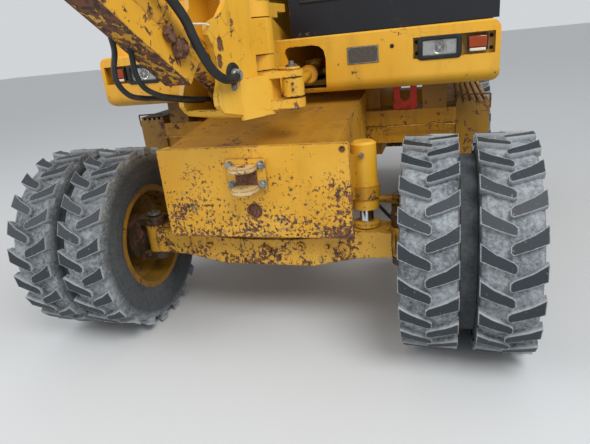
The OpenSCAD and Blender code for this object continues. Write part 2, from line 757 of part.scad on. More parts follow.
bumper_z0 = 1120;
bumper_z1 = 1397;
bumper_hw = 1068;
bumper_depth = 120;
module bumper() {
    x1 = slew_x + bumper_reach;
    x0 = x1 - bumper_depth;
    zc = (bumper_z0 + bumper_z1) / 2;
    color(yellow) difference() {
        intersection() {
            round_plate(x0, x1, 0, zc, 2 * bumper_hw, bumper_z1 - bumper_z0, 45);
            // Rolled lower edge and a slim top chamfer
            union() {
                slab_xz([
                    [x0, bumper_z0], [x1 - 60, bumper_z0], [x1 - 60, bumper_z0 + 60], [x1, bumper_z0 + 60],
                    [x1, bumper_z1 - 8], [x1 - 8, bumper_z1], [x0, bumper_z1]
                ], -bumper_hw, bumper_hw);
                bar_y(x1 - 60, 0, bumper_z0 + 60, 60, 2 * bumper_hw);
            }
        }
        // Hollow behind the face
        block([x0 - 1, -bumper_hw + 14, bumper_z0 + 14], [x1 - 70, bumper_hw - 14, bumper_z1 - 14]);
        block([x0 - 1, -bumper_hw + 14, bumper_z0 + 60], [x1 - 14, bumper_hw - 14, bumper_z1 - 14]);
        // Opening that the swing rod comes out of
        slab_yz([
            [102, 1142], [238, 1142], [246, 1152], [252, 1290], [244, 1328], [222, 1350], [190, 1357],
            [62, 1357], [46, 1348], [40, 1330]
        ], x0 - 1, x1 + 1);
        // Slots that the girders pass through
        for (y = girder_ys) slab_xz(girder_outline(0.3), y - 0.3, y + girder_t + 0.3);
        // Lamp recesses
        both_sides() block([x1 - 60, 680, 1250], [x1 + 1, 1046, 1346]);
    }
    // Back wall of each lamp recess
    color(yellow) both_sides() block([x1 - 60, 672, 1242], [x1 - 52, 1054, 1354]);
}

module front_lamps() {
    x1 = slew_x + bumper_reach;
    color(dark) both_sides() {
        round_plate(x1 - 51.7, x1 - 14, 800, 1294, 184, 88, 10);
        round_plate(x1 - 51.7, x1 - 16, 970, 1300, 92, 72, 8);
    }
}

// Rounded plan of the tail, from x0 back to the tail
module tail_plan(x0) {
    r = 340;
    back = slew_x - tail_reach;
    intersection() {
        translate([back, -upper_hw]) square([x0 - back, 2 * upper_hw]);
        union() {
            translate([back + r, -upper_hw]) square([x0 - back, 2 * upper_hw]);
            translate([back, -upper_hw + r]) square([r + 1, 2 * (upper_hw - r)]);
            for (s = [-1, 1]) translate([back + r, s * (upper_hw - r)]) circle(r, $fn = 64);
        }
    }
}

module counterweight() {
    color(yellow) translate([0, 0, upper_z]) linear_extrude(560) tail_plan(slew_x - tail_reach + 380);
}

module engine_block() {
    color(dark) block([frame_x0 + 60, -420, floor_z + 0.3], [slew_x + cab_reach - cab_len - 110, 480, floor_z + 470]);
}

// Side walls of the engine bay, standing on the deck
module engine_bay() {
    x1 = slew_x + cab_reach - cab_len - 20;
    x0 = slew_x - tail_reach + 380.5;
    color(yellow) {
        difference() {
            block([x0, -upper_hw, floor_z + 0.3], [x1, upper_hw, hood_z - 120]);
            block([x0 + 16, -upper_hw + 16, floor_z], [x1 - 16, upper_hw - 16, hood_z]);
            // Louvre slots on both sides
            for (i = [0:8]) block([x0 + 60, -upper_hw - 1, 1480 + i * 40], [x1 - 60, upper_hw + 1, 1494 + i * 40]);
        }
    }
}

// Hood over the engine, hinged at its front edge
module hood() {
    x1 = slew_x + cab_reach - cab_len - 20;
    back = slew_x - tail_reach;
    color(yellow) difference() {
        translate([0, 0, hood_z - 119.5]) linear_extrude(119.5) tail_plan(x1 - 30);
        translate([0, 0, hood_z - 120]) linear_extrude(105) intersection() {
            translate([back + 16, -upper_hw + 16]) square([x1 - 62 - back, 2 * upper_hw - 32]);
            translate([16, 0]) tail_plan(x1 - 30);
        }
    }
    color(yellow) translate([0, 0, upper_z + 560.3]) linear_extrude(hood_z - upper_z - 560.3 - 119) difference() {
        tail_plan(back + 378);
        translate([back + 330, -upper_hw - 1]) square([60, 2 * upper_hw + 2]);
        translate([back + 16, -upper_hw + 360]) square([400, 2 * upper_hw - 720]);
    }
}

// Tank and tool cover on the machine's right
module tank_cover() {
    x0 = slew_x + cab_reach - cab_len - 18;
    x1 = slew_x + bumper_reach - 125;
    color(yellow) difference() {
        union() {
            slab_xz([
                [x0, floor_z + 0.3], [x0, hood_z - 60], [x0 + 40, hood_z - 20], [slew_x + 150, hood_z - 20],
                [slew_x + 330, 1760], [x1 - 30, 1720], [x1, 1690], [x1, floor_z + 0.3]
            ], -upper_hw, -180);
        }
        for (i = [0:5]) block([x1 - 8, -upper_hw + 80 + i * 120, 1440], [x1 + 1, -upper_hw + 150 + i * 120, 1660]);
    }
    // Grab rails
    color(dark) for (y = [-1000, -240]) {
        translate([x1 - 60, y, 1716]) cylinder(h = 330, r = 14);
        translate([x1 - 360, y, 1740]) cylinder(h = 306, r = 14);
        bar_x(x1 - 374, y, 2040, 14, 328);
    }
}

// Cab

cab_x1 = slew_x + cab_reach;
cab_x0 = cab_x1 - cab_len;
cab_z0 = floor_z + 0.3;
// Side outline of the cab drawn in by d on every side, [x, z]
function cab_outline(d) = [
    [cab_x0 + d, cab_z0 + d], [cab_x0 + d, cab_z1 - 90 - d * 0.4], [cab_x0 + 60 + d * 0.4, cab_z1 - d],
    [cab_x1 - 130 - d * 0.6, cab_z1 - d], [cab_x1 - 95 - d, cab_z1 - 60 - d * 0.3],
    [cab_x1 - d, 1980], [cab_x1 - d, cab_z0 + d]
];
door_x0 = cab_x0 + 480;
door_x1 = cab_x1 - 150;
door_z0 = cab_z0 + 30;
door_z1 = cab_z1 - 110;
door_t = 40;
// Hinge line of the door, and the bottoms of its hinges
door_hinge = [door_x0 - 10, cab_y1 + 13];
door_hinges = [1560, 2050, 2600];
// Door outline: its front edge follows the windscreen post
function door_outline(g) = [
    [door_x0 + g, door_z0 + g], [door_x1 - g, door_z0 + g], [door_x1 - g, 1980],
    [door_x1 - 70 - g, door_z1 - g], [door_x0 + g, door_z1 - g]
];

module cab_shell() {
    color(dark) difference() {
        slab_xz(cab_outline(0), cab_y0, cab_y1);
        slab_xz(cab_outline(cab_wall), cab_y0 + cab_wall, cab_y1 - cab_wall);
        // Windscreen in two panes, with a bar between them
        slab_yz([[cab_y0 + 60, 1560], [cab_y0 + 60, 1900], [cab_y1 - 60, 1900], [cab_y1 - 60, 1560]],
                cab_x1 - 60, cab_x1 + 1);
        slab_yz([[cab_y0 + 60, 1960], [cab_y0 + 60, 2770], [cab_y1 - 60, 2770], [cab_y1 - 60, 1960]],
                cab_x1 - 220, cab_x1 + 1);
        // Side window towards the boom
        slab_xz([
            [cab_x0 + 120, 1960], [cab_x0 + 120, 2740], [cab_x1 - 190, 2740], [cab_x1 - 120, 1960]
        ], cab_y0 - 1, cab_y0 + cab_wall + 1);
        // Rear window
        slab_yz([[cab_y0 + 100, 2080], [cab_y0 + 100, 2700], [cab_y1 - 100, 2700], [cab_y1 - 100, 2080]],
                cab_x0 - 1, cab_x0 + cab_wall + 1);
        // Quarter window and door opening
        slab_xz([[cab_x0 + 110, 2060], [cab_x0 + 110, 2740], [door_x0 - 70, 2740], [door_x0 - 70, 2060]],
                cab_y1 - cab_wall - 1, cab_y1 + 1);
        slab_xz(door_outline(0), cab_y1 - cab_wall - 1, cab_y1 + 1);
    }
    // Lower half of each door hinge, with its pin
    color(dark) for (z = door_hinges) {
        translate([door_hinge[0], door_hinge[1], z]) cylinder(h = 34, r = 11);
        translate([door_hinge[0], door_hinge[1], z]) cylinder(h = 62, r = 6);
        block([door_hinge[0] - 11, cab_y1 - 1, z], [door_hinge[0] + 5, door_hinge[1], z + 34]);
    }
}

module cab_roof() {
    color(dark) slab_xz([
        [cab_x0 + 20, cab_z1 + 0.3], [cab_x0 + 20, cab_z1 + 45], [cab_x0 + 60, cab_z1 + 65],
        [cab_x1 - 170, cab_z1 + 65], [cab_x1 - 110, cab_z1 + 40], [cab_x1 - 90, cab_z1 + 0.3]
    ], cab_y0 + 10, cab_y1 - 10);
}

module cab_glass() {
    color("lightblue") {
        slab_yz([[cab_y0 + 60.4, 1560.4], [cab_y0 + 60.4, 1899.6], [cab_y1 - 60.4, 1899.6], [cab_y1 - 60.4, 1560.4]],
                cab_x1 - 20, cab_x1 - 20 + glass_t);
        translate([cab_x1 - 20, 0, 1980]) rotate([0, -6.1, 0])
            block([0, cab_y0 + 60.4, -19], [glass_t, cab_y1 - 60.4, 790]);
        slab_xz([[cab_x0 + 120.4, 1960.4], [cab_x0 + 120.4, 2739.6], [cab_x1 - 190.4, 2739.6], [cab_x1 - 120.4, 1960.4]],
                cab_y0 + 18, cab_y0 + 18 + glass_t);
        slab_yz([[cab_y0 + 100.4, 2080.4], [cab_y0 + 100.4, 2699.6], [cab_y1 - 100.4, 2699.6], [cab_y1 - 100.4, 2080.4]],
                cab_x0 + 18, cab_x0 + 18 + glass_t);
        slab_xz([[cab_x0 + 110.4, 2060.4], [cab_x0 + 110.4, 2739.6], [door_x0 - 70.4, 2739.6], [door_x0 - 70.4, 2060.4]],
                cab_y1 - 24, cab_y1 - 24 + glass_t);
    }
}

seat_y = (cab_y0 + cab_y1) / 2;
module cab_seat() {
    x = cab_x0 + 330;
    z = cab_z0 + cab_wall + 0.3;
    color(dark) {
        block([x, seat_y - 150, z], [x + 380, seat_y + 150, z + 300]);
        block([x - 20, seat_y - 250, z + 300], [x + 470, seat_y + 250, z + 420]);
        slab_xz([[x - 40, z + 380], [x + 80, z + 400], [x - 20, z + 1000], [x - 110, z + 990]], seat_y - 235, seat_y + 235);
    }
}

module cab_controls() {
    x = cab_x0 + 330;
    z = cab_z0 + cab_wall + 0.3;
    color(dark) {
        for (s = [-1, 1]) {
            block([x, seat_y + s * 330 - 60, z], [x + 420, seat_y + s * 330 + 60, z + 560]);
            translate([x + 340, seat_y + s * 330, z + 560]) cylinder(h = 170, r = 16);
            translate([x + 340, seat_y + s * 330, z + 700]) cylinder(h = 70, r = 26);
        }
        translate([x + 780, seat_y, z]) cylinder(h = 640, r = 45);
        translate([x + 780, seat_y, z + 640]) difference() {
            cylinder(h = 34, r = 185);
            translate([0, 0, -1]) for (a = [0, 180]) rotate([0, 0, a]) difference() {
                cylinder(h = 36, r = 158);
                block([-25, -200, -1], [25, 200, 40]);
                block([-200, -200, -1], [0, 200, 40]);
                cylinder(h = 40, r = 60);
            }
        }
    }
}

module cab_door() {
    y1 = cab_y1 + 2;
    color(dark) {
        difference() {
            slab_xz(door_outline(side_gap), y1 - door_t, y1);
            slab_xz([
                [door_x0 + 75, 1700], [door_x1 - 75, 1700], [door_x1 - 75, 1985],
                [door_x1 - 140, door_z1 - 75], [door_x0 + 75, door_z1 - 75]
            ], y1 - door_t - 1, y1 + 1);
        }
        block([door_x1 - 170, y1, 1590], [door_x1 - 60, y1 + 16, 1620]);
        // Upper half of each hinge
        for (z = door_hinges) difference() {
            union() {
                translate([door_hinge[0], door_hinge[1], z + 34.3]) cylinder(h = 28, r = 11);
                block([door_hinge[0], y1, z + 34.3], [door_x0 + 60, y1 + 8, z + 62.3]);
            }
            translate([door_hinge[0], door_hinge[1], z + 30]) cylinder(h = 40, r = 6.3);
        }
    }
}

module door_glass() {
    y1 = cab_y1 + 2;
    color("lightblue") slab_xz([
        [door_x0 + 75.4, 1700.4], [door_x1 - 75.4, 1700.4], [door_x1 - 75.4, 1985],
        [door_x1 - 140.4, door_z1 - 75.4], [door_x0 + 75.4, door_z1 - 75.4]
    ], y1 - 24, y1 - 24 + glass_t);
}

module exhaust() {
    color(dark) translate([slew_x - 1000, -760, hood_z]) difference() {
        cylinder(h = 320, r = 44);
        translate([0, 0, 20]) cylinder(h = 310, r = 38);
    }
}

module mirrors() {
    x = cab_x1 - 60;
    color(dark) {
        bar_y(x - 60, cab_y1 + 45, 2560, 9, 90);
        block([x - 70, cab_y1 + 80, 2360], [x - 40, cab_y1 + 120, 2640]);
    }
}

// Swing post

module swing_post() {
    half = post_w / 2;
    in_boom_plane() {
        color(yellow) difference() {
            union() {
                // Lower and middle hubs on the swing pin
                translate([0, 0, 1105]) cylinder(h = 1285 - side_gap - 1105, r = 100);
                translate([0, 0, 1345 + side_gap]) cylinder(h = 140, r = 92);
                // Web that joins the hubs to the cheeks
                block([20, -half + 10, 1105], [150, half - 10, 1285 - side_gap]);
                block([20, -half + 10, 1345 + side_gap], [150, half - 10, 1485]);
                slab_xz([[132, 1105], [132, 1600], [160, 1640], [175, 1560], [175, 1290], [154, 1268], [154, 1105]], -half + 10, half - 10);
                // Cheeks with the pin bosses
                for (y = [-half, half - cheek_t]) {
                    slab_xz([
                        [132, 1120], [132, 1700], [190, 1740], [262, 1700], [285, 1545], [330, 1500],
                        [400, 1474], [410, 1440], [388, 1400], [378, 1330], [378, 1270], [402, 1225],
                        [402, 1190], [376, 1160], [240, 1128], [150, 1112]
                    ], y, y + cheek_t);
                    bar_y(boom_foot[0], y + cheek_t / 2, boom_foot[1], 82, cheek_t);
                    bar_y(boom_cyl_foot[0], y + cheek_t / 2, boom_cyl_foot[1], 75, cheek_t);
                }
                // Box in front of the swing lever, flush with the left cheek
                translate([0, 0, 1112]) linear_extrude(158) polygon([
                    [130, half - cheek_t / 2], [262, half - cheek_t / 2], [262, half + 1], [128, 144], [112, 148],
                    [96, 146], [60, 120]
                ]);
                // Floor between the cheeks, turned up at the front
                slab_xz([
                    [140, 1106], [240, 1120], [372, 1150], [394, 1172], [376, 1174], [362, 1166], [236, 1136], [140, 1124]
                ], -half + 10, half - 10);
            }
            translate([0, 0, 1050]) cylinder(h = 520, r = swing_pin_d / 2);
            bar_y(boom_foot[0], 0, boom_foot[1], pin_d / 2, post_w + 40);
            bar_y(boom_cyl_foot[0], -5, boom_cyl_foot[1], pin_d / 2, post_w + 10);
            // Oval holes and the hose hole of the left cheek
            for (p = [[348, 1405], [360, 1345]]) translate([0, half + 1, 0]) rotate([90, 0, 0]) linear_extrude(cheek_t + 2)
                for (d = [-10, 10]) translate([p[0], p[1] + d]) circle(15);
            bar_y(295, half - cheek_t / 2, 1295, 38, cheek_t + 2);
        }
        // Main pins through the cheeks
        color(steel) {
            bar_y(boom_foot[0], 0, boom_foot[1], pin_d / 2 - 0.3, post_w + 30);
            bar_y(boom_cyl_foot[0], -5, boom_cyl_foot[1], pin_d / 2 - 0.3, post_w + 10);
            translate([0, 0, 1098]) cylinder(h = 470, r = swing_pin_d / 2 - 0.3);
        }
    }
    // Lever of the swing cylinder, to the machine's left
    color(yellow) translate([0, 0, 0]) difference() {
        union() {
            translate([0, 0, 1125]) linear_extrude(145) polygon([
                [swing_x - 40, swing_y + 60], [swing_x + 40, 130], [swing_x + 80, 164], [swing_x + 135, 136],
                [swing_x + 160, 20], [swing_x + 60, 20]
            ]);
            for (ear = [[1130, 38], [1254, 26]]) {
                translate([0, 0, ear[0]]) linear_extrude(ear[1]) polygon([
                    [swing_lever[0] - 46, swing_lever[1]], [swing_lever[0] - 60, 120],
                    [swing_lever[0] + 60, 120], [swing_lever[0] + 46, swing_lever[1]]
                ]);
                translate([swing_lever[0], swing_lever[1], ear[0]]) cylinder(h = ear[1], r = 46);
            }
        }
        translate([swing_x, swing_y, 1100]) cylinder(h = 200, r = 99);
        translate([swing_lever[0], swing_lever[1], 1100]) cylinder(h = 200, r = 18);
    }
}

swing_cyl_len = norm(swing_lever - swing_cyl_foot);
module swing_line() {
    d = swing_lever - swing_cyl_foot;
    translate([swing_cyl_foot[0], swing_cyl_foot[1], swing_cyl_z]) rotate([0, 0, atan2(d[1], d[0])]) rotate([90, 0, 0])
        children();
}

module swing_barrel() {
    color(yellow) swing_line() hyd_barrel(530, 84, 76, 60, 33.4, 40, 70);
}

module swing_rod() {
    rod_r = 20;
    eye_r = 45;
    swing_line() {
        color(steel) bar_x(352, 0, 0, rod_r, swing_cyl_len - 352 - eye_r * 0.6);
        // Painted eye with a socket for the rod
        color(yellow) difference() {
            bar_y(swing_cyl_len, 0, 0, eye_r, 72);
            bar_y(swing_cyl_len, 0, 0, 18 + fit_gap, 74);
            bar_x(swing_cyl_len - 60, 0, 0, rod_r + 0.3, 60.3 - eye_r * 0.6);
        }
    }
}

// Boom

// Width of the eye of the arm cylinder's rod
arm_eye_w = 76;

// Half width of the boom's foot between the cheeks, and of its fork's opening for the arm
foot_hw = post_w / 2 - cheek_t - side_gap;
fork_hw = arm_w / 2 + side_gap;
fork_t = 22;
module boom() {
    hw = boom_w / 2;
    color(yellow) in_boom_plane() difference() {
        union() {
            slab_xz([
                [120, 1720], [160, 1830], [560, 2170], [980, 2560], [1180, 2700], [1400, 2760],
                [2000, 2800], [2490, 2806], [2490, 2562],
                [2000, 2460], [1500, 2345], [1240, 2312], [1100, 2260], [640, 1900], [260, 1680]
            ], -hw, hw);
            bar_y(boom_foot[0], 0, boom_foot[1], 78, 2 * foot_hw);
            // Fork that holds the arm
            for (y = [-fork_hw - fork_t, fork_hw]) {
                slab_xz([
                    [2330, 2550], [2330, 2780], [2490, 2806], [2790, 2808], [boom_tip[0], boom_tip[1] + 92],
                    [boom_tip[0] + 40, boom_tip[1]], [boom_tip[0], boom_tip[1] - 92], [2490, 2566]
                ], y, y + fork_t);
                bar_y(boom_tip[0], y + fork_t / 2, boom_tip[1], 92, fork_t);
            }
            // Ears of the boom cylinder
            for (y = [-hw, hw - 26]) slab_xz([
                [1190, 2320], [1250, 2140], [1326, 2085], [1402, 2120], [1480, 2350]
            ], y, y + 26);
            // Ears of the arm cylinder
            for (y = [-64, 44]) slab_xz([
                [1180, 2690], [1290, 2930], [1350, 2960], [1410, 2930], [1560, 2740]
            ], y, y + 20);
        }
        bar_y(boom_foot[0], 0, boom_foot[1], pin_d / 2 + fit_gap, boom_w + 2);
        // Narrow foot between the cheeks
        both_sides() block([90, foot_hw, 1600], [430, hw + 1, 1905]);
        bar_y(boom_cyl_head[0], 0, boom_cyl_head[1], pin_d / 2, boom_w + 2);
        bar_y(arm_cyl_foot[0], 0, arm_cyl_foot[1], pin_d / 2, boom_w + 2);
        bar_y(boom_tip[0], 0, boom_tip[1], pin_d / 2, boom_w + 60);
    }
    // Pin heads outside the ears, and the pins of the arm and of its cylinder
    color(steel) in_boom_plane() {
        for (s = [-1, 1]) bar_y(boom_cyl_head[0], s * (hw + 6), boom_cyl_head[1], 44, 12);
        bar_y(boom_tip[0], 0, boom_tip[1], pin_d / 2 - 0.3, 2 * (fork_hw + fork_t) + 24);
        bar_y(arm_cyl_foot[0], 0, arm_cyl_foot[1], pin_d / 2 - 0.3, 150);
    }
}

module boom_barrel() {
    r = boom_cyl_d / 2;
    guard_hw = r - 8;
    in_boom_plane() from_to(boom_cyl_foot, boom_cyl_head) {
        color(yellow) {
            hyd_barrel(980, boom_cyl_d, 108, 120, pin_d - 0.6, rod_d + 10, 240);
            // Channel guard under the barrel
            difference() {
                block([250, -guard_hw, -r - 62], [1000, guard_hw, -r + 24]);
                block([240, -guard_hw + 10, -r - 52], [1010, guard_hw - 10, r]);
                bar_x(200, 0, 0, r, 1100);
            }
            for (x = [300, 900]) block([x, -guard_hw + 6, -r - 56], [x + 60, guard_hw - 6, -r + 4]);
        }
    }
}

module boom_rod() {
    in_boom_plane() from_to(boom_cyl_foot, boom_cyl_head) color(steel)
        hyd_rod(602, boom_cyl_len, rod_d + 10, 100, 100, pin_d);
}

// Arm

// The arm is one box from the bucket's pin up to the boom's tip, with its tail above
module arm() {
    hw = arm_w / 2;
    foot = bucket_cyl_foot_at;
    slot_up = arm_len + arm_tail_len - 90;
    color(yellow) in_boom_plane() difference() {
        union() {
            slab_xz([for (p = [
                [-62, 0], [-80, 60], [-110, 700], [-150, foot[1] - 140], [-128, foot[1] + 100], [-108, arm_len],
                [-58, arm_len + arm_tail_len], [58, arm_len + arm_tail_len], [128, arm_len + 70],
                [112, foot[1] + 50], [100, foot[1] - 220], [60, 520], [58, 60], [30, -40], [-30, -50]
            ]) on_arm(p)], -hw, hw);
            bar_y(bucket_pin[0], 0, bucket_pin[1], 62, arm_w);
            bar_y(arm_tail[0], 0, arm_tail[1], 58, arm_w);
            // Ears of the bucket cylinder
            for (y = [-58, 40]) slab_xz([for (p = [
                [-65, -150], [-15, -60], [40, -30], [50, 30], [0, 50], [-65, 60]
            ]) on_arm(foot + p)], y, y + 18);
        }
        // Slot in the tail for the eye of the arm cylinder
        slab_xz([for (p = [[-300, -60], [0, 0], [300, 0], [300, 310], [-300, 310]]) on_arm(p + [0, slot_up])],
                -arm_eye_w / 2 - side_gap, arm_eye_w / 2 + side_gap);
        bar_y(bucket_pin[0], 0, bucket_pin[1], pin_d / 2 + fit_gap, arm_w + 2);
        bar_y(boom_tip[0], 0, boom_tip[1], pin_d / 2 + fit_gap, arm_w + 2);
        bar_y(arm_tail[0], 0, arm_tail[1], pin_d / 2, 400);
        bar_y(bucket_cyl_foot[0], 0, bucket_cyl_foot[1], 25, 200);
        bar_y(rocker_foot[0], 0, rocker_foot[1], 25, 200);
    }
    color(steel) in_boom_plane() {
        for (s = [-1, 1]) bar_y(arm_tail[0], s * (hw + 6), arm_tail[1], 40, 12);
        bar_y(rocker_foot[0], 0, rocker_foot[1], 24.7, 250);
        bar_y(bucket_cyl_foot[0], 0, bucket_cyl_foot[1], 24.7, 130);
    }
}

arm_cyl_len = norm(arm_tail - arm_cyl_foot);
module arm_barrel() {
    in_boom_plane() from_to(arm_cyl_foot, arm_tail) color(yellow)
        hyd_barrel(1010, arm_cyl_d, 96, 84, pin_d - 0.6, rod_d, 110);
}

module arm_rod() {
    in_boom_plane() from_to(arm_cyl_foot, arm_tail) color(steel)
        hyd_rod(600, arm_cyl_len, rod_d, 92, arm_eye_w, pin_d);
}

bucket_cyl_len = norm(rocker_head - bucket_cyl_foot);
module bucket_barrel() {
    in_boom_plane() from_to(bucket_cyl_foot, rocker_head) color(yellow)
        hyd_barrel(690, arm_cyl_d - 10, 84, 70, 49.4, rod_d - 6, 90);
}

module bucket_rod() {
    in_boom_plane() from_to(bucket_cyl_foot, rocker_head) color(steel)
        hyd_rod(400, bucket_cyl_len, rod_d - 6, 80, 80, 44);
}

// Inner face of the link's eyes, just outside the eye of the bucket cylinder
link_in = 46;
link_eye_t = 24;

// Two rocker plates beside the arm
module rocker() {
    y0 = arm_w / 2 + side_gap;
    color(yellow) in_boom_plane() {
        difference() {
            for (y = [-y0 - 20, y0]) {
                slab_xz([for (p = [[0, 42], [rocker_len, 36], [rocker_len, -36], [0, -42]])
                    on_arm(rocker_foot_at + [
                        p[0] * cos(rocker_angle) - p[1] * sin(rocker_angle),
                        p[0] * sin(rocker_angle) + p[1] * cos(rocker_angle)
                    ])], y, y + 20);
                bar_y(rocker_foot[0], y + 10, rocker_foot[1], 42, 20);
                bar_y(rocker_head[0], y + 10, rocker_head[1], 40, 20);
            }
            bar_y(rocker_foot[0], 0, rocker_foot[1], 25 + fit_gap, 400);
            bar_y(rocker_head[0], 0, rocker_head[1], 22, 400);
        }
    }
    // Pin heads, and pins that stop short of the cylinder's eye
    color(steel) in_boom_plane() for (s = [-1, 1]) {
        bar_y(rocker_head[0], s * (y0 + 26), rocker_head[1], 32, 12);
        bar_y(rocker_head[0], s * (link_in + 27), rocker_head[1], 21.7, 54);
    }
}

// Link from the rocker to the bucket
module link() {
    len = norm(link_pin - rocker_head);
    color(yellow) in_boom_plane() from_to(rocker_head, link_pin) difference() {
        union() {
            for (y = [-link_in - link_eye_t, link_in]) {
                block([0, y, -32], [len, y + link_eye_t, 32]);
                for (x = [0, len]) bar_y(x, y + link_eye_t / 2, 0, 38, link_eye_t);
            }
            block([90, -60, -26], [len - 90, 60, 26]);
        }
        bar_y(0, 0, 0, 22, 200);
        bar_y(len, 0, 0, 22, 200);
    }
}

// Bucket

// Bucket frame: [towards the link pin, away from the mouth] from the bucket pin
function on_bucket(p) = on_arm(
    p[0] * [cos(link_pin_angle), sin(link_pin_angle)] + p[1] * [sin(link_pin_angle), -cos(link_pin_angle)]);
// Outlines of the bucket and of its hollow, as shares of its depth
bucket_outline = bucket_deep * [
    [-0.09, 0.075], [0.29, 0.075], [0.406, 0.203], [0.457, 0.406], [0.426, 0.609], [0.325, 0.792],
    [0.152, 0.914], [-0.162, 0.99], [-0.305, 1], [-0.203, 0.711], [-0.142, 0.406]
];
bucket_inside = bucket_deep * [
    [-0.406, 0.107], [0.276, 0.107], [0.384, 0.218], [0.433, 0.406], [0.404, 0.599], [0.309, 0.774],
    [0.142, 0.891], [-0.162, 0.967], [-0.426, 0.977]
];
module bucket() {
    hw = bucket_w / 2;
    color(yellow) in_boom_plane() difference() {
        union() {
            slab_xz([for (p = bucket_outline) on_bucket(p)], -hw, hw);
            // Hanger ears
            for (y = [-arm_w / 2 - side_gap - 24, arm_w / 2 + side_gap]) slab_xz([for (p = [
                [-70, 80], [-60, -30], [0, -62], [60, -40], [link_pin_len + 20, -55], [link_pin_len + 54, 0],
                [link_pin_len + 16, 80]
            ]) on_bucket(p)], y, y + 24);
            // Teeth
            for (i = [0:4]) translate([0, -hw + 20 + i * (bucket_w - 100) / 4, 0])
                slab_xz([for (p = [[70, -45], [70, 5], [0, 7], [-130, -13], [0, -35]])
                    on_bucket(bucket_deep * [-0.305, 1] + p)], 0, 60);
        }
        slab_xz([for (p = bucket_inside) on_bucket(p)], -hw + bucket_t, hw - bucket_t);
        bar_y(bucket_pin[0], 0, bucket_pin[1], pin_d / 2, bucket_w);
        bar_y(link_pin[0], 0, link_pin[1], 24, bucket_w);
    }
    color(steel) in_boom_plane() {
        bar_y(bucket_pin[0], 0, bucket_pin[1], pin_d / 2 - 0.3, arm_w + 90);
        for (s = [-1, 1]) bar_y(link_pin[0], s * (arm_w / 2 + side_gap + 30), link_pin[1], 34, 12);
    }
}

chassis_frame();
front_plate();
tow_jaw();
steps();
lock_barrels();
lock_rods();
front_axle();
rear_axle();
steering_cylinder();
lock_fork();
slew_ring();
knuckle_left();
knuckle_right();
tie_rod();
rims_fl();
rims_fr();
rims_rl();
rims_rr();
tyres_fl();
tyres_fr();
tyres_rl();
tyres_rr();
blade();
blade_barrels();
blade_rods();
upper_frame();
bumper();
front_lamps();
counterweight();
engine_block();
engine_bay();
hood();
tank_cover();
cab_shell();
cab_roof();
cab_glass();
cab_seat();
cab_controls();
cab_door();
door_glass();
exhaust();
mirrors();
swing_post();
swing_barrel();
swing_rod();
boom();
boom_barrel();
boom_rod();
arm();
arm_barrel();
arm_rod();
bucket_barrel();
bucket_rod();
rocker();
link();
bucket();
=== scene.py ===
import functools
import math

import bmesh
import bpy
from mathutils import Matrix, Vector


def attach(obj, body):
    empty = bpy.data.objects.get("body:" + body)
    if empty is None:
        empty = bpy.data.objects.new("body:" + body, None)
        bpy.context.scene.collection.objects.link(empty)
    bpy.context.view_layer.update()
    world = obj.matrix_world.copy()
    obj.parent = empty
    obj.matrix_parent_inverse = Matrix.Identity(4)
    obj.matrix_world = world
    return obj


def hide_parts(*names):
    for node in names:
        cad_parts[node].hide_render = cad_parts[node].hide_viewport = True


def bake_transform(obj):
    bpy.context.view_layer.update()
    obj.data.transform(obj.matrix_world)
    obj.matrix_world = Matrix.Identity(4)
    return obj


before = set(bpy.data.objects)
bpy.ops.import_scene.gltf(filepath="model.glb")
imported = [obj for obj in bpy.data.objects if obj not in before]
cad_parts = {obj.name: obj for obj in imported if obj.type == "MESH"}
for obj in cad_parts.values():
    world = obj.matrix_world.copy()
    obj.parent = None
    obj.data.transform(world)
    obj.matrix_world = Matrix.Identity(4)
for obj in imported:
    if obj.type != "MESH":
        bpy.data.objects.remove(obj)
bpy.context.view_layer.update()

# Places shared with the part's source, in metres
FRONT_X, REAR_X, AXLE_Z = 0.070, -2.330, 0.478
SLEW_X = -1.130
WHEEL_Y = 0.916
PIVOT_Y = 0.645
LOCK_Y = 0.482
TIE_ROD_X = FRONT_X - 0.200
PLATE_X = FRONT_X + 0.177
BUMPER_X = SLEW_X + 0.804
BLADE_X = REAR_X - 0.700
CAB_X0, CAB_X1, CAB_Y0, CAB_Y1 = SLEW_X - 0.750, SLEW_X + 0.780, 0.078, 1.060
SEAT_Y = 0.581
SWING = Vector((FRONT_X + 0.030, 0.033, 0.0))
SWING_ANGLE = math.radians(-15)
# Pins of the working arm, as (ahead, height) in the boom's plane
BOOM_FOOT, BOOM_CYL_FOOT, BOOM_CYL_HEAD = (0.190, 1.740), (0.215, 1.220), (1.3258, 2.1520)
BOOM_TIP, ARM_CYL_FOOT = (2.880, 2.720), (1.350, 2.895)
ARM_LENGTH, ARM_LEAN, BUCKET_LEAN = 1.650, math.radians(10), math.radians(-8)
BUCKET_PIN = (BOOM_TIP[0] - ARM_LENGTH * math.sin(ARM_LEAN), BOOM_TIP[1] - ARM_LENGTH * math.cos(ARM_LEAN))
TAIL_REACH, TAIL_TURN = 0.430, math.radians(80)
ARM_TAIL = (BOOM_TIP[0] + TAIL_REACH * math.cos(TAIL_TURN), BOOM_TIP[1] + TAIL_REACH * math.sin(TAIL_TURN))
ROCKER_REACH, ROCKER_TURN = 0.280, math.radians(2)
BOOM_SIDE, ARM_SIDE, BUCKET_SIDE = 0.090, 0.075, 0.320

AHEAD, BACK, UP, ACROSS = (1, 0, 0), (-1, 0, 0), (0, 0, 1), (0, 1, 0)
SIDES = (-1, 1)
KNUCKLES = ((-1, "knuckle_right"), (1, "knuckle_left"))


# Frames: each place function takes (u, v, z), where outlines are drawn in u and z and drawn out along v

def flat(x, y, z):
    """Outline along the machine (u = x), drawn out across it."""
    return Vector((x, y, z))


def across(u, v, z):
    """Outline across the machine (u = y), drawn out along it."""
    return Vector((v, u, z))


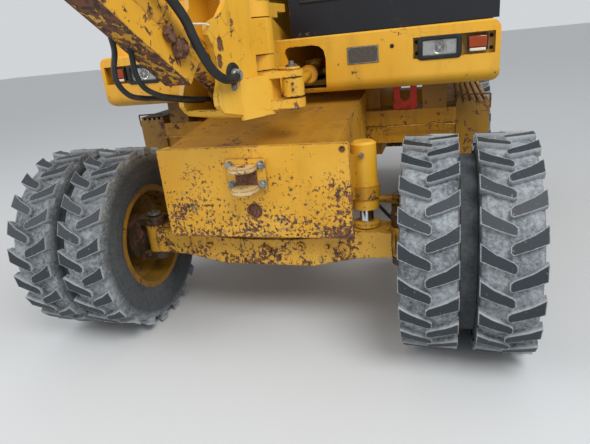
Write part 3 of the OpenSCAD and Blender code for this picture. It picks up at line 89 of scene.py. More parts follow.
def on_bumper(u, v, z):
    """Outline across the machine, drawn out along it from the bumper's face."""
    return across(u, BUMPER_X + v, z)


def on_boom(u, v, z):
    """A point of the boom's plane: u ahead of the swing pin, v to its left."""
    c, s = math.cos(SWING_ANGLE), math.sin(SWING_ANGLE)
    return SWING + Vector((u * c - v * s, u * s + v * c, z))


def arm_point(out, up):
    """(u, z) of a point of the arm's frame: out from its middle line and up from the bucket's pin."""
    return (BUCKET_PIN[0] + out * math.cos(ARM_LEAN) + up * math.sin(ARM_LEAN),
            BUCKET_PIN[1] - out * math.sin(ARM_LEAN) + up * math.cos(ARM_LEAN))


def on_arm(out, side, up):
    u, z = arm_point(out, up)
    return on_boom(u, side, z)


def on_bucket(along, side, away):
    """A point of the bucket's frame: along its mouth and away from the pin on the arm."""
    c, s = math.cos(BUCKET_LEAN), math.sin(BUCKET_LEAN)
    return on_arm(along * c + away * s, side, along * s - away * c)


def cylinder_frame(foot, head):
    """Gives a function that places (along, side, above) in the frame of the cylinder from foot to head."""
    length = math.hypot(head[0] - foot[0], head[1] - foot[1])
    c, s = (head[0] - foot[0]) / length, (head[1] - foot[1]) / length
    return lambda along, side, above: on_boom(
        foot[0] + along * c - above * s, side, foot[1] + along * s + above * c)


LEFT = on_boom(0, 1, 0) - on_boom(0, 0, 0)
on_boom_cyl = cylinder_frame(BOOM_CYL_FOOT, BOOM_CYL_HEAD)
on_arm_cyl = cylinder_frame(ARM_CYL_FOOT, ARM_TAIL)
on_bucket_cyl = cylinder_frame(arm_point(0.165, 1.400), arm_point(
    -0.030 + ROCKER_REACH * math.cos(ROCKER_TURN), 0.310 + ROCKER_REACH * math.sin(ROCKER_TURN)))


# Materials

def linear(colour):
    """sRGB hex to a linear colour."""
    parts = [int(colour[i:i + 2], 16) / 255 for i in (1, 3, 5)]
    return (*[c / 12.92 if c <= 0.04045 else ((c + 0.055) / 1.055) ** 2.4 for c in parts], 1.0)


def add_node(mat, kind, inputs=(), out=0, **settings):
    """Adds one node with its settings, and gives its output out. The inputs are values or links, by name
    or number in a dict, or else a list in the order of the node's sockets."""
    node = mat.node_tree.nodes.new("ShaderNode" + kind)
    for key, value in settings.items():
        setattr(node, key, value)
    for key, value in inputs.items() if isinstance(inputs, dict) else enumerate(inputs):
        if isinstance(value, bpy.types.NodeSocket):
            mat.node_tree.links.new(value, node.inputs[key])
        else:
            node.inputs[key].default_value = value
    return node.outputs[out]


def start_material(name, **values):
    """A material with one Principled shader and its plain values, and the function that adds its nodes."""
    mat = bpy.data.materials.new(name)
    mat.use_nodes = True
    shader = mat.node_tree.nodes["Principled BSDF"]
    for key, value in values.items():
        shader.inputs[key.replace("_", " ")].default_value = value
    return mat, shader, functools.partial(add_node, mat)


def finish_material(mat, shader, base, coats, height, strength, distance, rough=None):
    """Links the base colour with its coats, each a cover and the colour that it lays on, the bump of a
    height, and the roughness where it varies."""
    tone = linear(base)
    for cover, coat in coats:
        coat = linear(coat) if isinstance(coat, str) else coat
        tone = add_node(mat, "Mix", {0: cover, 6: tone, 7: coat}, 2, data_type="RGBA")
    bump = add_node(mat, "Bump", {"Height": height, "Strength": strength, "Distance": distance})
    for key, source in (("Base Color", tone), ("Normal", bump), ("Roughness", rough)):
        if source is not None:
            mat.node_tree.links.new(source, shader.inputs[key])
    return mat


def chipped_enamel(name, colour, faded, worn, heights, grime=0.3, coarse=30.0, edge=0.10, beneath=0.0,
                   below=(0, 0, -1), dusty=0.15, dust_tone="#a8905c", rubbed=0.0, scraped_from=None):
    """Alkyd enamel sprayed on steel plate: a dull gloss, chipped to brown rust, scratched and dusty.
    worn holds the chipped shares at the two heights, edge is what a plate's edges add to them, and beneath
    is what faces turned towards below add. dusty is the dust on faces that look up, and rubbed is the
    strength of grey patches that are scraped to the primer. In front of x = scraped_from the paint is
    rubbed to a pale tone."""
    mat, shader, add = start_material(name, Roughness=0.42, IOR=1.5)
    place = add("TexCoord", out="Object")
    height = add("SeparateXYZ", [place], "Z")
    share = add("MapRange", [height, *heights, *worn])
    # Faded and dirtier patches, about 0.5 m across
    patches = add("TexNoise", {"Vector": place, "Scale": 2.2, "Detail": 4.0})
    patchy = add("MapRange", [patches, 0.38, 0.66])
    # Runs of dirt, drawn out along the height
    drawn_out = add("Mapping", {"Vector": place, "Scale": (9.0, 9.0, 1.6)})
    runs = add("TexNoise", {"Vector": drawn_out, "Scale": 1.0, "Detail": 6.0, "Roughness": 0.65})
    dirt = add("MapRange", [runs, 0.5, 0.8, 0.0, grime])
    coats = [(patchy, faded), (dirt, "#5d4724")]
    # Chips of 10 to 60 mm that come in clusters
    grain = add("TexNoise", {"Vector": place, "Scale": coarse, "Detail": 7.0, "Roughness": 0.68,
                             "Distortion": 0.35})
    cluster = add("TexNoise", {"Vector": place, "Scale": 6.0, "Detail": 3.0})
    level = add("Math", [cluster, 0.55, grain], operation="MULTIPLY_ADD")
    level = add("Math", [level, share], operation="ADD")
    # Edges lose their paint first: the normal rounded over 9 mm finds them
    own = add("NewGeometry", out="Normal")
    soft = add("Bevel", {"Radius": 0.009}, samples=4)
    sharp = add("VectorMath", [soft, own], "Value", operation="DOT_PRODUCT")
    sharp = add("MapRange", [sharp, 0.99, 0.86, 0.0, edge])
    level = add("Math", [level, sharp], operation="ADD")
    # Faces turned towards below get more brown chips: wear, and also painted shade where a part's underside is darker
    if beneath:
        rest_normal = add("TexCoord", out="Normal")
        turned_down = add("VectorMath", [rest_normal, below], "Value", operation="DOT_PRODUCT")
        turned_down = add("MapRange", [turned_down, 0.6, 0.9, 0.0, beneath])
        level = add("Math", [level, turned_down], operation="ADD")
    chips = add("MapRange", [level, 0.995, 1.02])
    # Long thin scratches, only where chips are
    bent = add("TexNoise", {"Vector": place, "Scale": 3.0, "Detail": 2.0}, "Color")
    bent = add("VectorMath", {0: bent, "Scale": 0.35}, operation="SCALE")
    bent = add("VectorMath", [place, bent], operation="ADD")
    cells = add("TexVoronoi", {"Vector": bent, "Scale": 7.0}, "Distance", feature="DISTANCE_TO_EDGE")
    scratch = add("MapRange", [cells, 0.012, 0.004])
    where = add("MapRange", [cluster, 0.54, 0.6])
    for factor in (where, share):
        scratch = add("Math", [scratch, factor], operation="MULTIPLY")
    scratch = add("Math", [scratch, 9.0], operation="MULTIPLY", use_clamp=True)
    if rubbed:
        smear = add("Mapping", {"Vector": place, "Scale": (16.0, 11.0, 24.0)})
        smear = add("TexNoise", {"Vector": smear, "Scale": 1.0, "Detail": 7.0, "Roughness": 0.75})
        smear = add("Math", [share, 0.6, smear], operation="MULTIPLY_ADD")
        coats.append((add("MapRange", [smear, 0.69, 0.78, 0.0, rubbed]), "#857b56"))
    if scraped_from:
        ahead = add("SeparateXYZ", [place], "X")
        coats.append((add("MapRange", [ahead, scraped_from, scraped_from + 0.006]), "#cbb07c"))
    bare = add("Math", [chips, scratch], operation="MAXIMUM")
    speck = add("TexNoise", {"Vector": place, "Scale": 55.0, "Detail": 4.0})
    mixed = add("MapRange", [speck, 0.42, 0.6])
    rust = add("Mix", {0: mixed, 6: linear("#754a31"), 7: linear("#402f27")}, 2, data_type="RGBA")
    # Dust that settles on faces that look up
    facing = add("SeparateXYZ", [own], "Z")
    dust = add("MapRange", [facing, 0.5, 0.95, 0.0, dusty])
    lain = add("MapRange", [patches, 0.36, 0.58, 0.45, 1.0])
    dust = add("Math", [dust, lain], operation="MULTIPLY")
    coats += [(bare, rust), (dust, dust_tone)]
    rough = add("MapRange", {"Value": bare, "To Min": 0.42, "To Max": 0.85})
    relief = add("Math", [bare, -1.0, patches], operation="MULTIPLY_ADD")
    return finish_material(mat, shader, colour, coats, relief, 0.5, 0.0009, rough)


def worn_metal(name, colour, dark, metallic, rough, scale=40.0):
    """Bare or painted metal with darker oily patches."""
    mat, shader, add = start_material(name, Metallic=metallic, **({} if metallic else {"IOR": 1.5}))
    place = add("TexCoord", out="Object")
    cloud = add("TexNoise", {"Vector": place, "Scale": scale, "Detail": 6.0, "Roughness": 0.6})
    oily = add("MapRange", [cloud, 0.45, 0.65])
    spread = add("MapRange", [cloud, 0.3, 0.7, rough, min(1.0, rough + 0.2)])
    return finish_material(mat, shader, colour, [(oily, dark)], cloud, 0.25, 0.0006, spread)


def dusty_tyre(name, axle_x):
    """Carbon-black natural rubber, moulded: grooves and walls pale with dried mud, lug tops rubbed to dark
    slate inside a thin pale rim."""
    mat, shader, add = start_material(name, Roughness=0.85, IOR=1.52)
    place = add("TexCoord", out="Object")
    spoke = add("VectorMath", [place, (axle_x, 0, AXLE_Z)], operation="SUBTRACT")
    spoke = add("VectorMath", [spoke, (1, 0, 1)], operation="MULTIPLY")
    radius = add("VectorMath", [spoke], "Value", operation="LENGTH")
    outwards = add("VectorMath", [spoke], operation="NORMALIZE")
    # The normal rounded over 7 mm shows where an edge is near
    soft = add("Bevel", {"Radius": 0.007}, samples=6)
    soft = add("VectorTransform", [soft], vector_type="NORMAL", convert_from="WORLD", convert_to="OBJECT")
    upright = add("VectorMath", [soft, outwards], "Value", operation="DOT_PRODUCT")
    mud = add("TexNoise", {"Vector": place, "Scale": 60.0, "Detail": 7.0, "Roughness": 0.72})
    speck = add("TexNoise", {"Vector": place, "Scale": 210.0, "Detail": 4.0, "Roughness": 0.7})
    drift = add("TexNoise", {"Vector": place, "Scale": 8.0, "Detail": 3.0})
    thick = add("Math", [drift, 0.6, mud], operation="MULTIPLY_ADD")
    thick = add("MapRange", [thick, 0.62, 0.96])
    # The sidewall keeps less mud than the grooves, and the lugs' lower edges keep most
    wall = add("MapRange", [radius, 0.40, 0.442, 0.85, 0.0])
    foot = add("MapRange", [radius, 0.458, 0.472, 0.0, 0.8])
    high = add("MapRange", [radius, 0.4690, 0.4705])
    level = add("Math", [mud, -0.30, upright], operation="MULTIPLY_ADD")
    level = add("MapRange", [level, 0.780, 0.812])
    rubbed = add("Math", [level, high], operation="MULTIPLY")
    top = add("Mix", {0: speck, 6: linear("#10151a"), 7: linear("#27313a")}, 2, data_type="RGBA")
    coats = [(thick, "#9ba1a5"), (wall, "#34383b"), (foot, "#adb2b4"), (rubbed, top)]
    rough = add("MapRange", {"Value": rubbed, "To Min": 0.92, "To Max": 0.55})
    crust = add("Math", [speck, 0.4, mud], operation="MULTIPLY_ADD")
    return finish_material(mat, shader, "#4d5358", coats, crust, 0.5, 0.0015, rough)


def moulded(name, colour, dust, rough, grain_mm, IOR=1.49):
    """Moulded plastic or rubber with a fine grain and a little dust."""
    mat, shader, add = start_material(name, Roughness=rough, IOR=IOR)
    place = add("TexCoord", out="Object")
    grain = add("TexNoise", {"Vector": place, "Scale": 1000.0 / grain_mm, "Detail": 3.0})
    cloud = add("TexNoise", {"Vector": place, "Scale": 9.0, "Detail": 5.0, "Roughness": 0.65})
    dusty = add("MapRange", [cloud, 0.48, 0.78, 0.0, 0.45])
    return finish_material(mat, shader, colour, [(dusty, dust)], grain, 0.3, 0.0008)


def woven_cloth(name, colour, second):
    """Woven polyester seat cloth: a soft two-tone weave drawn at 6 mm a thread pair, coarser than real."""
    mat, shader, add = start_material(name, Roughness=0.9, Sheen_Weight=0.3)
    place = add("TexCoord", out="Object")
    threads = {"Vector": place, "Scale": 26.0, "Distortion": 0.4}
    rows, columns = [add("TexWave", threads, "Fac", bands_direction=axis) for axis in "YZ"]
    weave = add("Math", [rows, columns], operation="MULTIPLY")
    return finish_material(mat, shader, colour, [(weave, second)], weave, 0.5, 0.001)


def clear_pane(name, tint, through, rough=0.03):
    """Tempered or lamp glass with a light film of dust."""
    mat, shader, add = start_material(name, IOR=1.52, Transmission_Weight=through, Base_Color=linear(tint))
    place = add("TexCoord", out="Object")
    film = add("TexNoise", {"Vector": place, "Scale": 7.0, "Detail": 6.0, "Roughness": 0.7})
    spread = add("MapRange", [film, 0.4, 0.75, rough, rough + 0.22])
    mat.node_tree.links.new(spread, shader.inputs["Roughness"])
    return mat


YELLOW, FADED = "#d39a1c", "#dba83a"
plate_enamel = chipped_enamel(
    "chipped_plate_enamel", YELLOW, FADED, (0.264, 0.070), (0.56, 0.95), coarse=60.0, edge=0.20, rubbed=0.9)
jaw_enamel = chipped_enamel(
    "scraped_jaw_enamel", YELLOW, FADED, (0.12, 0.12), (0.7, 1.0), grime=0.4, coarse=40.0, edge=0.22, rubbed=0.5,
    scraped_from=PLATE_X + 0.020)
axle_enamel = chipped_enamel(
    "chipped_axle_enamel", YELLOW, FADED, (0.215, 0.10), (0.38, 0.56), grime=0.4, coarse=46.0, edge=0.15, rubbed=0.6)
frame_enamel = chipped_enamel(
    "dirty_frame_enamel", "#c98f18", "#bd8a26", (0.13, 0.09), (0.5, 1.1), grime=0.75, dusty=0.62,
    dust_tone="#74552c")
step_enamel = chipped_enamel(
    "dirty_step_enamel", "#a97a1c", "#8c6822", (0.13, 0.12), (0.6, 1.1), grime=0.85, coarse=24.0, edge=0.12,
    dusty=0.5, dust_tone="#8d713f")
guard_enamel = chipped_enamel(
    "worn_boom_enamel", YELLOW, "#cf9a30", (0.17, 0.12), (1.1, 2.2), grime=0.5, coarse=26.0)
# The boom cylinder's guard is worn brown on the side that faces down, and this brown band is also painted shade under
# the guard
barrel_enamel = chipped_enamel(
    "worn_and_painted_shade_guard_enamel", YELLOW, "#d9a031", (0.17, 0.10), (1.1, 2.2), grime=0.55, coarse=34.0, edge=0.13,
    beneath=0.142, below=(0.621, -0.166, -0.766))
body_enamel = chipped_enamel("body_enamel", "#dba01d", "#e3b03c", (0.055, 0.03), (1.1, 1.6), edge=0.12)
rim_enamel = chipped_enamel("greasy_rim_enamel", "#a87a1c", "#7a5a20", (0.12, 0.12), (0.2, 0.8), grime=0.95)
black_enamel = chipped_enamel(
    "black_enamel", "#0b0f16", "#10151e", (0.02, 0.01), (1.2, 2.0), grime=0.0, edge=0.03, dusty=0.06)
red_enamel = chipped_enamel("red_enamel", "#e02e10", "#d83a1c", (0.05, 0.04), (0.9, 1.2), grime=0.25)
greasy_hub = chipped_enamel("greasy_hub_enamel", "#4a3a20", "#2c2622", (0.2, 0.2), (0.3, 0.6), grime=0.9, dusty=0.3)
cast_iron = worn_metal("greasy_cast_iron", "#33302d", "#191817", 0.0, 0.6, 18.0)
chrome_rod = worn_metal("chromed_rod", "#c9ccd0", "#b3b6ba", 1.0, 0.12, 12.0)
bare_steel = worn_metal("bare_steel", "#8f8d88", "#5c5048", 1.0, 0.42, 60.0)
zinc_bolt = worn_metal("zinc_bolt", "#a3a5a3", "#716a5f", 0.75, 0.5, 80.0)
rusty_steel = worn_metal("rusty_steel", "#6f4b37", "#3a2a24", 0.0, 0.8, 90.0)
reflector = worn_metal("lamp_reflector", "#dcdcda", "#b9b9b6", 1.0, 0.12, 30.0)
plate_blank = worn_metal("blank_plate", "#45403a", "#5a544b", 0.0, 0.5, 160.0)
front_tyre = dusty_tyre("front_tyre_rubber", FRONT_X)
rear_tyre = dusty_tyre("rear_tyre_rubber", REAR_X)
hose_rubber = moulded("hose_rubber", "#141516", "#4a4a46", 0.55, 1.5, IOR=1.52)
hose_sleeve = moulded("grey_hose_sleeve", "#75787a", "#a3a29c", 0.7, 2.0)
white_nylon = moulded("white_nylon_hose", "#d8d4c8", "#a29c8c", 0.5, 2.0)
cab_plastic = moulded("cab_plastic", "#1c1d1f", "#57554e", 0.55, 1.2)
seal_rubber = moulded("seal_rubber", "#101112", "#3c3b38", 0.7, 1.5, IOR=1.52)
seat_cloth = woven_cloth("seat_cloth", "#26282c", "#4a4d52")
window_glass = clear_pane("window_glass", "#dfe9e4", 1.0)
lamp_glass = clear_pane("lamp_glass", "#f2f4f2", 0.9)
amber_lens = clear_pane("amber_lens", "#b0460c", 0.35, 0.15)
red_lens = clear_pane("red_lens", "#b01812", 0.35, 0.15)

NODE_FINISH = {node: finish for finish, nodes in (
    (plate_enamel, "front_plate"), (jaw_enamel, "tow_jaw"), (axle_enamel, "front_axle blade bucket"),
    (greasy_hub, "knuckle_left knuckle_right"), (frame_enamel, "chassis_frame tie_rod blade_barrels"),
    (step_enamel, "steps"), (rim_enamel, "rims_fl rims_fr rims_rl rims_rr"),
    (front_tyre, "tyres_fl tyres_fr"), (rear_tyre, "tyres_rl tyres_rr"), (red_enamel, "lock_fork"),
    (body_enamel, "lock_barrels upper_frame bumper counterweight engine_bay hood tank_cover"),
    (body_enamel, "swing_post swing_barrel swing_rod"), (barrel_enamel, "boom_barrel"),
    (guard_enamel, "boom arm arm_barrel bucket_barrel rocker link"),
    (chrome_rod, "lock_rods blade_rods boom_rod arm_rod bucket_rod"),
    (cast_iron, "rear_axle steering_cylinder slew_ring engine_block exhaust"),
    (black_enamel, "cab_shell cab_roof cab_door"), (window_glass, "cab_glass door_glass"),
    (cab_plastic, "front_lamps cab_controls mirrors"), (seat_cloth, "cab_seat"),
) for node in nodes.split()}
# The CAD's own slots tell yellow, dark and bright surfaces of one node apart
for name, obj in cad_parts.items():
    for own in obj.material_slots:
        finish = NODE_FINISH[name]
        if len(obj.material_slots) > 1:
            shader = own.material.node_tree.nodes["Principled BSDF"]
            red, green, blue, _ = shader.inputs["Base Color"].default_value
            yellow = red > 2.5 * blue and red > 0.3
            if not yellow and max(red, green, blue) > 0.25:
                finish = chrome_rod if name.endswith("_rod") else bare_steel
            elif not yellow and finish not in (front_tyre, rear_tyre):
                finish = cast_iron
        own.material = finish


# Shapes: each is a list of points with a list of faces

def mm(*points):
    """Points in millimetres, as metres."""
    return [tuple(part / 1000 for part in point) for point in points]


def rectangle(u0, z0, u1, z1):
    """Outline of a rectangle."""
    return [(u0, z0), (u1, z0), (u1, z1), (u0, z1)]


def circle(count, start=0.0):
    """Cosine and sine of equal turns."""
    turns = [start + 2 * math.pi * i / count for i in range(count)]
    return [(math.cos(turn), math.sin(turn)) for turn in turns]


def rounded(u, z, half_u, half_z, radius):
    """A rectangle about (u, z) with round corners, as an outline."""
    outline = []
    for corner, (su, sz) in enumerate(((1, 1), (-1, 1), (-1, -1), (1, -1))):
        for k in range(5):
            turn = math.radians(90 * corner + 22.5 * k)
            outline.append((u + su * (half_u - radius) + radius * math.cos(turn),
                            z + sz * (half_z - radius) + radius * math.sin(turn)))
    return outline


def loft(loops, joined=False):
    """Faces from loop to loop. The last loop is joined to the first one, or else both get a flat end."""
    size, count = len(loops[0]), len(loops)
    faces = [(a * size + i, a * size + j, b * size + j, b * size + i)
             for a, b in zip(range(count), [*range(1, count), 0]) if b or joined
             for i, j in zip(range(size), [*range(1, size), 0])]
    if not joined:
        faces += [range(size), range((count - 1) * size, count * size)]
    return [point for loop in loops for point in loop], faces


def slab(outline, low, high, place=flat):
    """Draws an outline of (u, z) points out from v = low to v = high."""
    return loft([[place(u, v, z) for u, z in outline] for v in (low, high)])


def block(u0, z0, u1, z1, low, high, place=flat, inset=0.0):
    """Draws a rectangle out from v = low to v = high. inset narrows its upper edge at both ends."""
    return slab([(u0, z0), (u1, z0), (u1 - inset, z1), (u0 + inset, z1)], low, high, place)


def rim(outer, inner, low, high, place):
    """A frame between two outlines with equal numbers of points, drawn out from v = low to v = high."""
    return loft([[place(u, v, z) for u, z in outline]
                 for outline, v in ((outer, low), (outer, high), (inner, high), (inner, low))], True)


def turned(profile, start, along, sides=28, hollow=False):
    """Turns a profile of (radius, distance) points about the line from start in the direction along.
    A hollow one joins its last circle to its first and has no flat ends."""
    turn = Vector(UP).rotation_difference(Vector(along).normalized()).to_matrix()
    return loft([[Vector(start) + turn @ Vector((radius * c, radius * s, distance)) for c, s in circle(sides)]
                 for radius, distance in profile], hollow)


def bolt(at, along, size=0.012):
    """Hexagon bolt with a washer: size is half the width over its flats."""
    base = Vector(at) + Vector(along).normalized() * size * 0.25
    return [turned([(size * 1.7, 0), (size * 1.7, size * 0.25), (size * 1.1, size * 0.25)], at, along, 24),
            turned([(size * 1.15, 0), (size * 1.15, size), (size * 0.95, size * 1.15)], base, along, 6)]


def pin_head(radius, at, along):
    """Flat head of a pin with its grease fitting."""
    return turned([(radius, 0), (radius, 0.003), (0.012, 0.004), (0.012, 0.010)], at, along)


def smooth_path(points, steps):
    """A curve through the points (Catmull-Rom)."""
    points = [Vector(p) for p in points]
    ends = [2 * points[0] - points[1]] + points + [2 * points[-1] - points[-2]]
    path = []
    for a, b, c, d in zip(ends, ends[1:], ends[2:], ends[3:]):
        for t in [i / steps for i in range(steps)]:
            path.append(0.5 * (2 * b + (c - a) * t + (2 * a - 5 * b + 4 * c - d) * t ** 2
                               + (3 * b - a - 3 * c + d) * t ** 3))
    return path + [points[-1]]


def hose(points, radius, sides=14, steps=6):
    """A round tube along a smooth path."""
    path = smooth_path(points, steps)
    side = (path[1] - path[0]).orthogonal().normalized()
    loops = []
    for i, point in enumerate(path):
        ahead = (path[min(i + 1, len(path) - 1)] - path[max(i - 1, 0)]).normalized()
        side = (side - side.dot(ahead) * ahead).normalized()
        up = ahead.cross(side)
        loops.append([point + radius * (side * c + up * s) for c, s in circle(sides)])
    return loft(loops)


def piece(name, material, body, *shapes, bevel=0.0, smooth=True, slot=None):
    """Joins shapes, single or in lists, to a piece that rides on a body, or on none where it is blended."""
    bm = bmesh.new()
    shapes = list(shapes)
    while shapes:
        shape = shapes.pop(0)
        if isinstance(shape, list):
            shapes = shape + shapes
            continue
        verts = [bm.verts.new(point) for point in shape[0]]
        for face in shape[1]:
            bm.faces.new([verts[i] for i in face])
    bmesh.ops.recalc_face_normals(bm, faces=bm.faces)
    mesh = bpy.data.meshes.new(name)
    bm.to_mesh(mesh)
    bm.free()
    obj = bpy.data.objects.new(name, mesh)
    bpy.context.scene.collection.objects.link(obj)
    mesh.materials.append(material)
    if smooth:
        mesh.shade_smooth()
        mesh.set_sharp_from_angle(angle=math.radians(38))
    if bevel:
        rounding = obj.modifiers.new("rounded_edges", "BEVEL")
        rounding.width, rounding.segments, rounding.limit_method = bevel, 2, "ANGLE"
        rounding.angle_limit = math.radians(40)
    if body:
        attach(obj, body)
    return obj


def blended(name, material, first, second, start, end, *shapes):
    """A piece that stays where it is drawn, on no body. Its first, second, start and end are not used."""
    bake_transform(piece(name, material, None, *shapes))


# End plate, front axle and frame

piece("tow_jaw_bolts", zinc_bolt, "chassis", [
    bolt((PLATE_X + 0.016, y, z), AHEAD) for y in (-0.085, 0.063) for z in (0.814, 0.900)])
piece("plate_hole_rust", rusty_steel, "chassis",
      turned(mm((35.5, 12), (30, 3), (12, 1)), (PLATE_X - 0.025, 0.0, 0.681), AHEAD, 32),
      turned(mm((12.5, 6), (10, 2), (4, 1)), (PLATE_X - 0.012, 0.420, 0.952), AHEAD, 20),
      block(PLATE_X + 0.0162, 0.812, PLATE_X + 0.020, 0.880, -0.062, 0.040))
piece("axle_fittings", axle_enamel, "chassis",
      turned(mm((30, 0), (30, 4), (24, 6), (10, 6), (10, 12)), (FRONT_X + 0.094, -0.010, 0.441), AHEAD),
      bolt((FRONT_X + 0.088, 0.172, 0.467), AHEAD, 0.008),
      [[bolt((FRONT_X + 0.080, side * 0.30, 0.470), AHEAD, 0.009),
        turned(mm((7, 0), (7, 12), (4, 18)), (FRONT_X + 0.05, side * 0.585, 0.545), (0.3, 0, 1), 12)]
       for side in SIDES])
# Weld beads of the axle beam and the frame's boxes
piece("axle_welds", axle_enamel, "chassis", [[
    hose([(FRONT_X + 0.080, side * 0.405, 0.420), (FRONT_X + 0.082, side * 0.412, 0.470),
          (FRONT_X + 0.080, side * 0.405, 0.530)], 0.004, 8, 3),
    hose([(FRONT_X - 0.62, side * y, z) for y, z in mm((520, 891), (700, 893), (880, 891))], 0.004, 8, 2)]
    for side in SIDES])
piece("lock_foot_pads", axle_enamel, "chassis", [
    turned(mm((50, 0), (62, 4), (62, 20), (46, 26)), (FRONT_X, side * LOCK_Y, 0.549), UP, 32) for side in SIDES])
piece("lock_cylinder_plugs", zinc_bolt, "chassis", [
    turned(mm((11, 0), (11, 4), (9, 6), (5, 6), (5, 3)), (FRONT_X + 0.066, side * LOCK_Y, 0.900), AHEAD, 20)
    for side in SIDES])

# Caps of the steering pivots and of the tie rod's joints, gaiters and brake hoses
for side, knuckle in KNUCKLES:
    piece("pivot_cap_" + knuckle, zinc_bolt, knuckle,
          turned(mm((36, 0), (36, 6), (30, 9), (8, 9), (8, 15)), (FRONT_X, side * PIVOT_Y, 0.603), UP, 32),
          [bolt((FRONT_X + 0.028 * c, side * PIVOT_Y + 0.028 * s, 0.608), UP, 0.005)
           for c, s in circle(4, math.pi / 4)])
piece("tie_rod_caps", zinc_bolt, "tie_rod", [
    turned(mm((20, 0), (20, 3), (12, 7), (4, 7), (4, 13)), (TIE_ROD_X, side * 0.605, 0.6367), UP, 24)
    for side in SIDES])
piece("steering_gaiters", seal_rubber, "chassis", [
    turned([(fold, 0.007 * k) for k, fold in enumerate([0.034, 0.041] * 7 + [0.034])],
           (TIE_ROD_X, side * 0.212, 0.613), (0, side, 0)) for side in SIDES])
for side, knuckle in KNUCKLES:
    blended("brake_hose_" + knuckle, hose_rubber, "chassis", knuckle, (FRONT_X, side * 0.42, 0.70),
            (FRONT_X, side * 0.60, 0.54), hose([(FRONT_X - x, side * y, z) for x, y, z in mm(
                (100, 360, 722), (100, 440, 690), (95, 520, 620), (90, 575, 560), (70, 620, 520))], 0.008, 10))

# Steel teeth of the steps' tread and a rubber mat on the right one
STEP_Z = 1.011
piece("step_teeth", step_enamel, "chassis", [
    block(x - 0.010, STEP_Z, x + 0.010, STEP_Z + 0.0045, y - 0.005, y + 0.005, inset=0.003)
    for side in SIDES for y in [side * (0.898 + i * 0.034) for i in range(5)]
    for x in [FRONT_X - 0.682 - k * 0.041 for k in range(26)]], smooth=False)
piece("right_step_mat", seal_rubber, "chassis",
      block(FRONT_X - 1.735, STEP_Z + 0.0015, FRONT_X - 0.665, STEP_Z + 0.0055, -1.051, -0.886), bevel=0.002)

# Tool boxes under the steps: lid, pull latches and hinges
BOX_X0, BOX_X1 = FRONT_X - 1.674, FRONT_X - 0.746
for side, word in ((-1, "right"), (1, "left")):
    y = side * 1.046
    piece("tool_box_lid_" + word, step_enamel, "chassis",
          block(BOX_X0, 0.706, BOX_X1, 0.946, y, y + side * 0.004), bevel=0.002)
    piece("tool_box_latches_" + word, zinc_bolt, "chassis", [[
        turned(mm((20, 0), (20, 3), (13, 4), (13, 10), (9, 12)), (x, y + side * 0.004, 0.905), (0, side, 0), 24),
        block(x - 0.006, 0.880, x + 0.006, 0.930, y + side * 0.012, y + side * 0.018)]
        for x in (BOX_X0 + 0.20, BOX_X1 - 0.20)], bevel=0.001)
    piece("tool_box_hinges_" + word, step_enamel, "chassis", [[
        turned(mm((7, -45), (7, 45)), (x, y + side * 0.010, 0.716), AHEAD, 14),
        block(x - 0.040, 0.716, x + 0.040, 0.752, y + side * 0.004, y + side * 0.007)]
        for x in (BOX_X0 + 0.10, (BOX_X0 + BOX_X1) / 2, BOX_X1 - 0.10)], bevel=0.001)

# Valve stems of the wheels, and bolts and plug of the rear axle's housing
for corner, x, side in (("fl", FRONT_X, 1), ("fr", FRONT_X, -1), ("rl", REAR_X, 1), ("rr", REAR_X, -1)):
    piece("valve_" + corner, zinc_bolt, "wheel_" + corner, hose([
        (x + u, side * (WHEEL_Y + v), AXLE_Z + w)
        for u, v, w in mm((185, 40, 60), (195, 90, 64), (212, 140, 70))], 0.006, 10))
piece("rear_axle_bolts", zinc_bolt, "chassis",
      [bolt((REAR_X - 0.095, 0.092 * c, AXLE_Z + 0.092 * s), BACK, 0.008) for c, s in circle(10)],
      turned(mm((16, 0), (16, 10), (10, 12)), (REAR_X - 0.095, 0, AXLE_Z - 0.045), BACK, 6))

# Blade: bolted cutting edge of bare steel, and weld beads
piece("blade_edge", bare_steel, "blade",
      slab([(BLADE_X - 0.0325, 0.2312), (BLADE_X - 0.0225, 0.330), (BLADE_X - 0.014, 0.330), (BLADE_X - 0.024, 0.2312)],
           -1.178, 1.178), bevel=0.002)
piece("blade_edge_bolts", zinc_bolt, "blade", [
    turned(mm((17, 0), (17, 3), (9, 5)), (BLADE_X - 0.0265, -1.10 + k * 0.2, 0.290), (-1, 0, 0.1), 20)
    for k in range(12)])
piece("blade_welds", axle_enamel, "blade", [
    hose([(BLADE_X + 0.020, y, 0.300), (BLADE_X + 0.021, y, 0.420), (BLADE_X + 0.020, y, 0.550)], 0.005, 8, 3)
    for side in SIDES for y in (side * 0.330 + 0.030, side * 0.330 - 0.026)])

# Bumper: lamps, blank plate and plugs
LAMP_Z, LAMP_YS, SIDE_LAMP_YS = 1.294, (-0.800, 0.800), (-1.010, 0.930)
piece("headlamp_glass", lamp_glass, "upper", [
    block(y - 0.080, 1.2585, y + 0.080, 1.3295, -0.0085, -0.0050, on_bumper) for y in LAMP_YS], bevel=0.002)
piece("headlamp_bowls", reflector, "upper", [[
    block(y - 0.076, 1.2625, y + 0.076, 1.3255, -0.0138, -0.0128, on_bumper),
    turned(mm((8, 3.5), (10, 1), (24, 1), (30, 4), (33, 1)), (BUMPER_X - 0.0128, y, LAMP_Z), AHEAD, 36),
    [block(rib, 1.266, rib + 0.002, 1.322, -0.0130, -0.0118, on_bumper)
     for rib in [y - 0.072 + 0.016 * k for k in range(9)]]] for y in LAMP_YS])
piece("headlamp_frames", seal_rubber, "upper", [
    rim(rounded(y, LAMP_Z, 0.100, 0.053, 0.018), rounded(y, LAMP_Z, 0.077, 0.0345, 0.006),
        -0.016, 0.006, on_bumper) for y in LAMP_YS], bevel=0.004)
piece("indicator_lenses", amber_lens, "upper", [
    block(y, 1.278, y + 0.080, 1.330, -0.015, -0.004, on_bumper) for y in SIDE_LAMP_YS], bevel=0.005)
